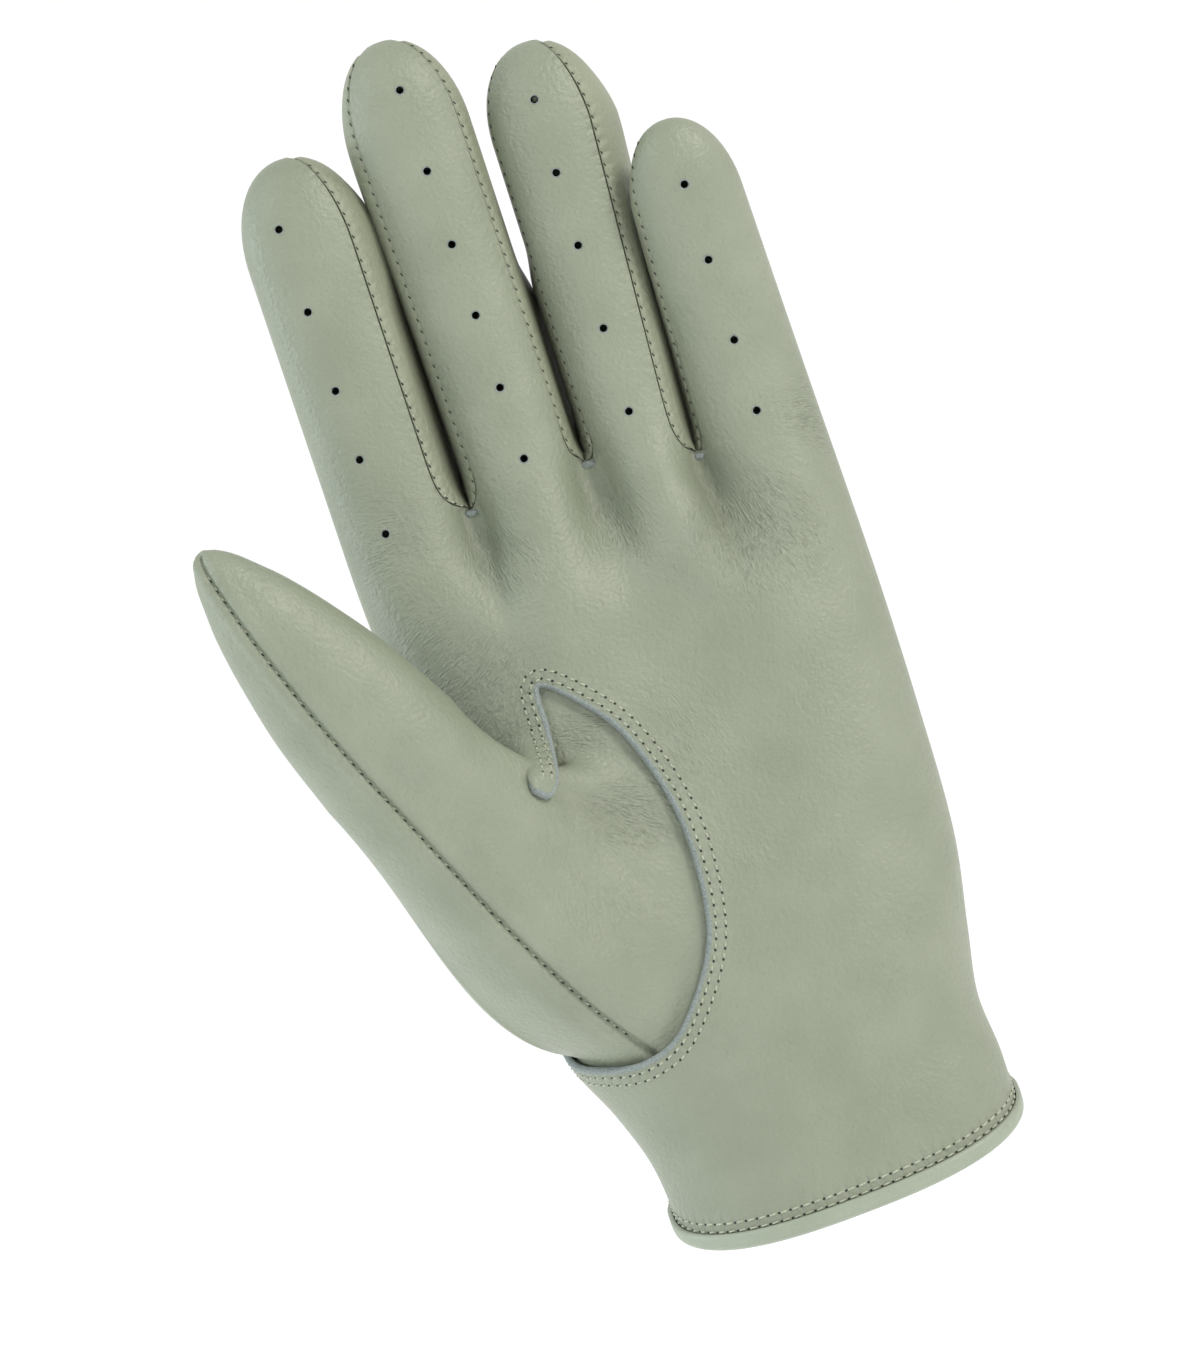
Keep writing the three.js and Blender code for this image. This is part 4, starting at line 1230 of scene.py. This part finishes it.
edge_place = on_surface(palm_tree, opening_row(0.35))[0]
near_place, near_normal = on_surface(palm_tree, opening_row(0.9))
edge_normal = softened(near_normal)
edge_outward = softened(near_place - edge_place)
edge_place -= edge_outward * 0.35
edge_lines = [edge_place + edge_outward * out + edge_normal * upward for out, upward in RAW_PROFILE]
raw_edge = mesh_object("raw_edge_thumb_opening", *swept(edge_lines), sharp_angle=60)
facing_out(raw_edge.data)
print("squares of the raw edge:", len(raw_edge.data.polygons))

# %% [markdown]
# A punched hole shows the same raw leather as a thin pale ring inside it. Each ring is a small rounded
# band that follows the hole's edge on the curved finger.

# %% Rims of the punched holes
HOLE_PROFILE = [(0.0, 0.05), (-0.14, 0.0), (-0.22, -0.25), (-0.2, -0.9), (0.02, -0.9), (0.03, -0.1)]


def hole_rim(x, y, z):
    turn = 2 * np.pi * np.arange(24) / 24
    outward = np.stack([np.cos(turn), 0 * turn, np.sin(turn)], axis=1)
    rim = np.array([x, 0, z]) + outward * HOLE_DIAMETER / 2
    for place in rim:
        beside = Vector(place + (place - [x, 0, z]) * 0.25 + [0, y - 10, 0])
        place[1] = palm_tree.ray_cast(beside, Vector((0, 1, 0)))[0].y
    return swept(rim + outward * out - np.array([0, upward, 0]) for out, upward in HOLE_PROFILE)


def gathered(name, blocks, sharp_angle=180):
    vertices, faces, start = [], [], 0
    for block, block_faces in blocks:
        faces += [[corner + start for corner in face] for face in np.asarray(block_faces).tolist()]
        vertices.append(block)
        start += len(block)
    return mesh_object(name, np.concatenate(vertices), faces, sharp_angle)


rims = gathered("raw_edge_holes", [hole_rim(*place) for place in holes], sharp_angle=60)
print("squares of the hole rims:", len(rims.data.polygons))

# %% [markdown]
# Stitches are what makes a glove look sewn. Each one is a short length of thread that comes up out of one
# needle hole and goes down into the next, so it is a small tube with six sides, arched and thinner at both
# ends. A picture of stitches on a flat surface would be quicker, but would not stand up at the outline.

# %% Threads
def threads(start, end, upward, thickness, rise, sides=6):
    shares = np.array([0.0, 0.12, 0.35, 0.65, 0.88, 1.0])
    lift = np.array([-0.2, 0.45, 1.0, 1.0, 0.45, -0.2]) * rise
    width = np.array([0.35, 0.85, 1.0, 1.0, 0.85, 0.35]) * thickness / 2
    onward = unit(end - start)
    beside = unit(np.cross(onward, upward))
    vertices, faces = [], []
    for s in range(len(start)):
        first = s * len(shares) * sides
        for k in range(len(shares)):
            centre = mix(start[s], end[s], shares[k]) + upward[s] * lift[k]
            for j in range(sides):
                turn = 2 * np.pi * j / sides
                vertices.append(centre + (beside[s] * np.cos(turn) + upward[s] * np.sin(turn)) * width[k])
                if k + 1 < len(shares):
                    a, b = first + k * sides + j, first + k * sides + (j + 1) % sides
                    faces.append([a, a + sides, b + sides, b])
        last = first + (len(shares) - 1) * sides
        faces += [[first, first + 1, first + 2, first + 3], [first, first + 3, first + 4, first + 5]]
        faces += [[last + 3, last + 2, last + 1, last], [last + 5, last + 4, last + 3, last]]
    return np.array(vertices), faces


along_x, up_z = np.array([[1.0, 0, 0]]), np.array([[0, 0, 1.0]])
print("corners of one thread:", len(threads(0 * along_x, along_x, up_z, 0.4, 0.1)[0]))

# %% [markdown]
# The needle leaves a little hollow in the leather, dark with shade. Thousands of cuts would be slow, so each
# hollow is drawn as a flat dark lens that lies 0.04 mm above the leather: painted shade in place of the
# hollow's shadow. A small slant across the row tells where the needle turned.

# %% Needle holes
def needle_holes(place, upward, onward, length, width, slant, sides=8):
    beside = unit(np.cross(upward, onward))
    onward = unit(np.cross(beside, upward) + beside * slant)
    beside = np.cross(upward, onward)
    vertices, faces = [], []
    for s in range(len(place)):
        first = len(vertices)
        for ring, height in ((1.0, 0.0), (0.7, 0.035)):
            for j in range(sides):
                turn = 2 * np.pi * j / sides
                offset = onward[s] * np.cos(turn) * length / 2 + beside[s] * np.sin(turn) * width / 2
                vertices.append(place[s] + offset * ring + upward[s] * height)
        vertices.append(place[s] + upward[s] * 0.045)
        for j in range(sides):
            k = (j + 1) % sides
            faces.append([first + j, first + k, first + sides + k, first + sides + j])
            faces.append([first + sides + j, first + sides + k, first + 2 * sides, first + 2 * sides])
    return np.array(vertices), faces


print("corners of one needle hole:", len(needle_holes(0 * along_x, up_z, along_x, 0.6, 0.5, 0.3)[0]))

# %% [markdown]
# A row is sewn along a line: even places are marked on it, each is laid on the leather, and a thread and a
# needle hole go from each place to the next. What is sewn is collected and made into one mesh at the end.

# %% Sew along a line, first round the opening
sewn_threads, sewn_holes, puckered_rows = [], [], []


def evenly(points, pitch):
    length = np.concatenate([[0], np.cumsum(np.linalg.norm(np.diff(points, axis=0), axis=1))])
    count = max(int(length[-1] / pitch), 1)
    at = np.linspace(0, length[-1], count + 1)
    return np.stack([np.interp(at, length, points[:, k]) for k in range(3)], axis=1)


def sew(tree, line, stitch, puckers=True):
    place, upward = on_surface(tree, evenly(line, stitch["pitch"]))
    step = np.diff(place, axis=0)
    onward = unit(step)
    if stitch["thread"] > 0:
        beside = unit(np.cross(upward[:-1], onward)) * 0.07
        start = place[:-1] + step * 0.14 - beside
        end = place[:-1] + step * (0.14 + stitch["thread"]) + beside
        sewn_threads.append(threads(start, end, unit(upward[:-1] + upward[1:]), stitch["thick"], 0.1))
    long, wide = stitch["hole"]
    sewn_holes.append(needle_holes(place[:-1], upward[:-1], onward, long, wide, stitch["slant"]))
    if puckers:
        puckered_rows.append(place)
    return len(step)


TOPSTITCH = dict(pitch=2.1, thread=0.44, thick=0.38, hole=(0.62, 0.5), slant=0.3)
PAST_TONGUE, TONGUE_TIP = 52, 29
for distance in (1.15, 2.85):
    row = np.roll(opening_row(distance), -PAST_TONGUE, axis=0)[:TONGUE_TIP - PAST_TONGUE]
    print("stitches round the opening:", sew(palm_tree, row, TOPSTITCH, puckers=distance < 2))

# %% [markdown]
# The seams of the fingers are sewn from the inside, so only the dents of the stitches show: one small dark
# slanted dent every 2.3 mm, right beside the seam. Where the index seam is pulled open near its crotch,
# short bits of the thread itself come to light.

# %% Sew the fingers
strip_trees = [tree_of(strip) for strip in strips]
back_tree = tree_of(back)


def seam_line(i, column):
    return skin_points[finger_ids[i][:, column]]


def beside_line(line, towards, distance):
    away = towards - line
    onward = unit(np.gradient(line, axis=0))
    away -= onward * (away * onward).sum(axis=1, keepdims=True)
    return line + unit(away) * distance


TURNED_SEAM = dict(pitch=2.3, thread=0, thick=0, hole=(0.85, 0.3), slant=0.45)
OPEN_SEAM = dict(pitch=2.3, thread=0.3, thick=0.36, hole=(0.75, 0.4), slant=0.45)
THREAD_SHOWS_BELOW = 172


def sew_finger(i):
    right, back_right = FRONT_STEPS, FRONT_STEPS + SIDE_STEPS
    back_left = back_right + BACK_STEPS
    last = back_left + SIDE_STEPS - 1
    seams = []
    if i < LITTLE:
        seams += [(right, right + 2, strip_trees[i]), (back_right, back_right - 2, strip_trees[i])]
    if i > 0:
        seams += [(0, last - 1, strip_trees[i - 1]), (back_left, back_left + 2, strip_trees[i - 1])]
    total = 0
    for column, neighbour, tree in seams:
        line = beside_line(seam_line(i, column), seam_line(i, neighbour), 0.32)[2:-3]
        if i == 0 and column == right:
            shows = line[:, 2] < THREAD_SHOWS_BELOW
            total += sew(tree, line[shows], OPEN_SEAM)
            line = line[~shows]
        total += sew(tree, line, TURNED_SEAM)
    return total


print("stitches along the fingers:", [sew_finger(i) for i in range(len(FINGERS))])

# %% [markdown]
# At both outer edges of the hand the palm's leather meets that of the back. This seam runs from the wrist
# straight on up the index or the little finger.

# %% Sew the outer sides
def sew_side(column_on_hand, finger, column_on_finger, neighbour):
    lower = skin_points[hand_ids[column_on_hand][:-1]]
    line = np.concatenate([lower, seam_line(finger, column_on_finger)])
    beside = np.concatenate([skin_points[hand_ids[column_on_hand + neighbour][:-1]],
                             seam_line(finger, column_on_finger + neighbour)])
    return sew(palm_tree, beside_line(line, beside, 0.4)[2:-3], TURNED_SEAM)


index_side = FRONT_STEPS + SIDE_STEPS + BACK_STEPS
print("stitches down the outer sides:", sew_side(0, 0, index_side, 1),
      sew_side(FRONT_END, LITTLE, FRONT_STEPS + SIDE_STEPS, -1))

# %% [markdown]
# The wrist binding is held by two rows of topstitching: one in the crease just above the roll, and one
# about 2 mm higher on the hand.

# %% Sew the wrist
WRIST_STITCH = dict(pitch=2.2, thread=0.6, thick=0.42, hole=(0.6, 0.5), slant=0.2)
for low, high, tree in ((-SIDE_SEAM, SIDE_SEAM, palm_tree), (SIDE_SEAM, 360 - SIDE_SEAM, back_tree)):
    around = np.arange(low, high + 0.1, 1.0)
    upper_row = hand_point(around, rim_height(around) + BINDING_HEIGHT + 1.9)
    lower_row = hand_point(around, rim_height(around) + BINDING_HEIGHT + 0.3)
    print("stitches at the wrist:", sew(tree, upper_row, WRIST_STITCH),
          sew(tree, lower_row, WRIST_STITCH, puckers=False))

# %% [markdown]
# The thumb's seam is half open, as the leather pulls at it, so short bits of thread lie in the groove. It
# is the last row, and now all the threads and all the needle holes become one mesh each.

# %% Sew the thumb
THUMB_STITCH = dict(pitch=2.4, thread=0.3, thick=0.32, hole=(0.9, 0.42), slant=0.4)
thumb_tree = tree_of(thumb)
seam_column = int(np.argmin(np.abs(thumb_around - THUMB_SEAM)))
SEWN_ROWS = slice(20, -6)
seam_rows = thumb_ids[seam_column][SEWN_ROWS]
seam_beside = thumb_ids[seam_column - 1][SEWN_ROWS]
thumb_seam_line = beside_line(thumb_points[seam_rows], thumb_points[seam_beside], 0.3)
print("stitches of the thumb:", sew(thumb_tree, thumb_seam_line, THUMB_STITCH))

stitches = gathered("stitch_threads", sewn_threads)
needle_marks = gathered("needle_holes", sewn_holes)
print("squares of thread:", len(stitches.data.polygons))
print("squares of needle holes:", len(needle_marks.data.polygons))

# %% [markdown]
# A tight thread gathers the leather, so it puffs up between two stitches. These puckers are bump as well:
# every point of a panel learns how many stitches it is along the nearest row, and how near that row is.

# %% Puckers along the seams
PUCKER_REACH, PARTS = 1.5, 5
FADING_STITCHES = 1.5
MOST_STITCHES = 2.5


def places_on_rows():
    places, counts, ends, numbers = [], [], [], []
    for number, row in enumerate(puckered_rows):
        for step in range(PARTS * (len(row) - 1)):
            k, part = divmod(step, PARTS)
            count = k + part / PARTS
            places.append(mix(row[k], row[k + 1], part / PARTS))
            counts.append(count)
            ends.append(min(count, len(row) - 1 - count))
            numbers.append(number)
    return places, np.array(counts), np.array(ends), np.array(numbers)


row_places, row_counts, row_ends, row_numbers = places_on_rows()
row_tree = KDTree(len(row_places))
for which, place in enumerate(row_places):
    row_tree.insert(Vector(place), which)
row_tree.balance()


def mark_puckers(piece):
    mesh = piece.data
    found = np.array([row_tree.find(corner.co / MM)[1:] for corner in mesh.vertices])
    nearest, distance = found[:, 0].astype(int), found[:, 1]
    count = row_counts[nearest]
    fading = np.minimum(row_ends[nearest] / FADING_STITCHES, 1)
    depth = np.exp(-(distance / PUCKER_REACH) ** 2) * fading
    depth = kept_apart(mesh, depth, row_numbers[nearest])
    depth = kept_apart(mesh, depth, count, MOST_STITCHES)
    mark(mesh, "stitches_along", count)
    mark(mesh, "pucker_depth", depth)
    return len(count)


print("points marked with puckers:", [mark_puckers(piece) for piece in (palm, back, thumb, *strips)])

# %% [markdown]
# At the foot of each gap the end of the side strip is turned out, and shows a small patch of its raw
# inside. A short fat roll, sunk to half its depth into the palm, is enough for it.

# %% Raw patches at the crotches
def raw_patch(middle, length, thickness):
    ends = middle + np.array([[-length / 2, 0, length * 0.12], [length / 2, 0, -length * 0.04]])
    place, upward = on_surface(palm_tree, ends)
    place -= upward * 0.2
    return threads(place[:1], place[1:], upward[:1], thickness, 0.1)


patches = []
for crotch, length in zip(CROTCHES, (2.6, 2.0, 1.6)):
    patches.append(raw_patch(crotch_point(crotch, CROTCH_FRONT) - [0, 0, 0.9], length, 1.3))
crotch_patches = gathered("raw_edge_crotches", patches)
print("raw patches at the crotches:", len(patches))

# %% [markdown]
# A material is a net of nodes. Making it by code, node by node, keeps every value readable and in one place.
# Noise is measured in millimetres of the glove, not in parts of a piece's box, so the grain has the same
# size on every piece.

# %% Helpers for materials
def node(tree, kind, inputs=None, **settings):
    made = tree.nodes.new(kind)
    for key, value in settings.items():
        setattr(made, key, value)
    for key, value in (inputs or {}).items():
        if isinstance(value, bpy.types.NodeSocket):
            tree.links.new(value, made.inputs[key])
        else:
            made.inputs[key].default_value = value
    return made


def new_material(name):
    material = bpy.data.materials.new(name)
    material.use_nodes = True
    return material, material.node_tree, material.node_tree.nodes["Principled BSDF"]


def in_millimetres(tree):
    place = node(tree, "ShaderNodeTexCoord").outputs["Object"]
    scaled = node(tree, "ShaderNodeVectorMath", {0: place, "Scale": 1 / MM}, operation="SCALE")
    return scaled.outputs["Vector"]


def noise(tree, place, scale, detail=2.0, roughness=0.5):
    inputs = {"Vector": place, "Scale": scale, "Detail": detail, "Roughness": roughness}
    return node(tree, "ShaderNodeTexNoise", inputs).outputs["Fac"]


print("millimetres in one Blender unit:", round(1 / MM))

# %% [markdown]
# Three heights add up to the leather's relief. The grain is a net of tiny cells and an uneven pebbling. The
# wrinkles are thin folds in a noise that is stretched along the marks on the mesh. The puckers rise once
# for each stitch. All three are bump, as real relief this fine would take millions of squares.

# %% Relief of the leather
CELL_DEPTH, PEBBLE_HEIGHT, WRINKLE_HEIGHT, PUCKER_HEIGHT = 0.12, 0.28, 2.1, 0.3


def calculated(tree, kind, first, second=0):
    return node(tree, "ShaderNodeMath", {0: first, 1: second}, operation=kind).outputs[0]


def mark_of(tree, name, output="Fac"):
    return node(tree, "ShaderNodeAttribute", attribute_name=name).outputs[output]


def grain_height(tree, place, grain):
    inputs = {"Vector": place, "Scale": 1.3, "Smoothness": 0.5}
    cells = node(tree, "ShaderNodeTexVoronoi", inputs, feature="SMOOTH_F1").outputs["Distance"]
    cells = calculated(tree, "MULTIPLY", cells, -CELL_DEPTH * grain)
    pebbles = calculated(tree, "MULTIPLY", noise(tree, place, 0.85, 3, 0.62), PEBBLE_HEIGHT * grain)
    return calculated(tree, "ADD", cells, pebbles)


def wrinkle_height(tree):
    folds = noise(tree, mark_of(tree, "wrinkle_field", "Vector"), 1.0, 2, 0.6)
    folds = calculated(tree, "ABSOLUTE", calculated(tree, "SUBTRACT", folds, 0.5))
    folds = calculated(tree, "SUBTRACT", folds, 0.075)
    folds = calculated(tree, "MULTIPLY", folds, mark_of(tree, "wrinkle_depth"))
    return calculated(tree, "MULTIPLY", folds, WRINKLE_HEIGHT)


def pucker_height(tree):
    half_turns = calculated(tree, "MULTIPLY", mark_of(tree, "stitches_along"), np.pi)
    puff = calculated(tree, "ABSOLUTE", calculated(tree, "SINE", half_turns))
    puff = calculated(tree, "MULTIPLY", puff, mark_of(tree, "pucker_depth"))
    return calculated(tree, "MULTIPLY", puff, PUCKER_HEIGHT)


def leather_height(tree, place, grain):
    height = calculated(tree, "ADD", grain_height(tree, place, grain), wrinkle_height(tree))
    return calculated(tree, "ADD", height, pucker_height(tree))


print("puckers stand up by", PUCKER_HEIGHT, "mm")

# %% [markdown]
# The leather is thin, smooth sheepskin in a grey sage green, and its colour drifts a little between two
# tones. The side strips are a little paler, and painted shade darkens their colour towards the bottom of the
# gaps, where hardly any light comes in. The binding was cut from a paler piece and rubbed smoother.

# %% Leather
def two_tones(tree, share, first, second):
    mixed = node(tree, "ShaderNodeMix", {"Factor": share}, data_type="RGBA")
    for socket, tone in ((mixed.inputs[6], first), (mixed.inputs[7], second)):
        if isinstance(tone, bpy.types.NodeSocket):
            tree.links.new(tone, socket)
        else:
            socket.default_value = (*tone, 1)
    return mixed.outputs[2]


def leather(name, light, dark, roughness, grain=1.0, painted_gap_shade=None):
    material, tree, shader = new_material(name)
    place = in_millimetres(tree)
    drift = noise(tree, place, 0.07, 3)
    ramp = node(tree, "ShaderNodeMapRange", {"Value": drift, "From Min": 0.35, "From Max": 0.65})
    colour = two_tones(tree, ramp.outputs[0], light, dark)
    # painted shade: the colour darkens towards the bottom of the gaps between the fingers
    if painted_gap_shade:
        gap = node(tree, "ShaderNodeMapRange", {"Value": mark_of(tree, "depth_in_gap"), "From Min": 0.5})
        colour = two_tones(tree, gap.outputs[0], colour, painted_gap_shade)
    tree.links.new(colour, shader.inputs["Base Color"])
    height = leather_height(tree, place, grain)
    bump = node(tree, "ShaderNodeBump", {"Height": height, "Distance": MM, "Strength": 1.0})
    tree.links.new(bump.outputs["Normal"], shader.inputs["Normal"])
    shader.inputs["Roughness"].default_value = roughness
    shader.inputs["Specular IOR Level"].default_value = 0.45
    return material


sage_leather = leather("sage_leather", (0.240, 0.264, 0.195), (0.216, 0.240, 0.175), 0.44)
# the last colour is the painted shade at the bottom of the gaps
strip_leather = leather("side_strip_leather", (0.256, 0.277, 0.198), (0.228, 0.248, 0.174), 0.5, 1.0,
                        (0.045, 0.045, 0.030))
binding_leather = leather("binding_leather", (0.290, 0.325, 0.250), (0.265, 0.300, 0.228), 0.42, 0.6)
for piece in (palm, back, thumb):
    piece.data.materials.clear()
    piece.data.materials.append(sage_leather)
for piece in strips:
    piece.data.materials.append(strip_leather)
binding.data.materials.append(binding_leather)
print("nodes in the palm's leather:", len(sage_leather.node_tree.nodes))

# %% [markdown]
# The raw edge is dull and fibrous, the thread is a pale waxed cotton, and the needle holes are painted
# shade: a near-black that stands for the shadow inside each hollow.

# %% Raw edge, thread and needle holes
def suede(name, light, dark):
    material, tree, shader = new_material(name)
    place = in_millimetres(tree)
    fibre = noise(tree, place, 2.6, 4, 0.65)
    ramp = node(tree, "ShaderNodeMapRange", {"Value": fibre, "From Min": 0.35, "From Max": 0.65})
    tree.links.new(two_tones(tree, ramp.outputs[0], dark, light), shader.inputs["Base Color"])
    bump = node(tree, "ShaderNodeBump", {"Height": fibre, "Distance": 0.25 * MM, "Strength": 1.0})
    tree.links.new(bump.outputs["Normal"], shader.inputs["Normal"])
    shader.inputs["Roughness"].default_value = 0.95
    shader.inputs["Sheen Weight"].default_value = 0.2
    return material


raw_material = suede("raw_leather_edge", (0.29, 0.33, 0.315), (0.16, 0.19, 0.18))
thread_material = suede("waxed_thread", (0.52, 0.54, 0.42), (0.32, 0.34, 0.25))
# painted shade: near-black for the shadow in the needle holes
needle_hole_shade = suede("needle_hole", (0.035, 0.038, 0.027), (0.012, 0.013, 0.01))
for piece, material in ((raw_edge, raw_material), (rims, raw_material), (crotch_patches, raw_material),
                        (stitches, thread_material), (needle_marks, needle_hole_shade)):
    piece.data.materials.append(material)
print("materials:", sorted(material.name for material in bpy.data.materials))

# %% [markdown]
# Pictures for a catalogue are taken with large soft lamps, whose shadows have no hard edges. One stands on
# each side in front of the glove and shows its folds, and a weak cool one at the left shows the outline.

# %% Lamps
def area_light(name, place, target, size, power, colour):
    data = bpy.data.lights.new(name, "AREA")
    data.shape = "DISK"
    data.size = size
    data.energy = power
    data.color = colour
    lamp = bpy.data.objects.new(name, data)
    lamp.location = place
    lamp.rotation_euler = (Vector(target) - Vector(place)).to_track_quat("-Z", "Y").to_euler()
    bpy.context.scene.collection.objects.link(lamp)


MIDDLE_OF_GLOVE = (0, 0, 0.11)
area_light("left_edge_light", (-0.85, 0.05, 0.35), MIDDLE_OF_GLOVE, 0.4, 3, (0.8, 0.91, 1))
area_light("left_softbox", (-0.65, -0.7, 0.95), MIDDLE_OF_GLOVE, 0.5, 4.2, (0.88, 0.95, 1))
area_light("right_softbox", (0.78, -0.75, 0.75), MIDDLE_OF_GLOVE, 0.35, 9, (1, 0.98, 0.93))
print("lamps:", [lamp.name for lamp in bpy.data.lights])

# %% [markdown]
# The glove stands in a white room without walls. The room's light is full behind the glove and only a third
# of that in front of it, so the background is white and the leather keeps its shading.

# %% A white room
BEHIND, IN_FRONT = 1.03, 0.34
world = bpy.data.worlds.new("white_room")
world.use_nodes = True
room = world.node_tree
room.nodes["Background"].inputs["Color"].default_value = (1, 1, 1, 1)
direction = node(room, "ShaderNodeTexCoord").outputs["Generated"]
towards_back = node(room, "ShaderNodeVectorMath", {0: direction, 1: (0, 0.9, 0.4)}, operation="DOT_PRODUCT")
room_range = {"From Min": -1.0, "From Max": 0.8, "To Min": IN_FRONT, "To Max": BEHIND}
room_light = node(room, "ShaderNodeMapRange", {"Value": towards_back.outputs["Value"], **room_range})
room.links.new(room_light.outputs[0], room.nodes["Background"].inputs["Strength"])
bpy.context.scene.world = world
bpy.context.scene.view_settings.view_transform = "Standard"
print("light of the room in front and behind:", IN_FRONT, BEHIND)

# %% [markdown]
# A pale floor below the glove throws light up into its shadows. It glows a little, so that it is as white
# as the room.

# %% Floor
FLOOR, REACH = -0.06, 4
floor_mesh = bpy.data.meshes.new("floor")
corners = [(-REACH, -REACH, FLOOR), (REACH, -REACH, FLOOR), (REACH, REACH, FLOOR), (-REACH, REACH, FLOOR)]
floor_mesh.from_pydata(corners, [], [(0, 1, 2, 3)])
floor = bpy.data.objects.new("floor", floor_mesh)
bpy.context.scene.collection.objects.link(floor)
floor_material, tree, shader = new_material("pale_floor")
shader.inputs["Base Color"].default_value = (0.9, 0.9, 0.9, 1)
shader.inputs["Roughness"].default_value = 1.0
shader.inputs["Emission Color"].default_value = (1, 1, 1, 1)
shader.inputs["Emission Strength"].default_value = 0.28
floor.data.materials.append(floor_material)
print("floor at", FLOOR, "m")

# %% [markdown]
# Each finished piece is hung on the root body, and the piece of the construction that it stands for is
# hidden. The stitches and the raw edges are extras that simply ride along.

# %% Hand over
dressed = [(palm, "palm", "leather"), (back, "back", "leather"), (thumb, "thumb", "leather"),
           (binding, "cuff_binding", "binding_leather")]
for piece, crotch in zip(strips, CROTCHES):
    dressed.append((piece, "fourchette_" + crotch["name"], "side_leather"))
for piece, stands_for, slot in dressed:
    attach(piece, "root")
    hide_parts(stands_for)
for piece in (raw_edge, rims, crotch_patches, stitches, needle_marks):
    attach(piece, "root")
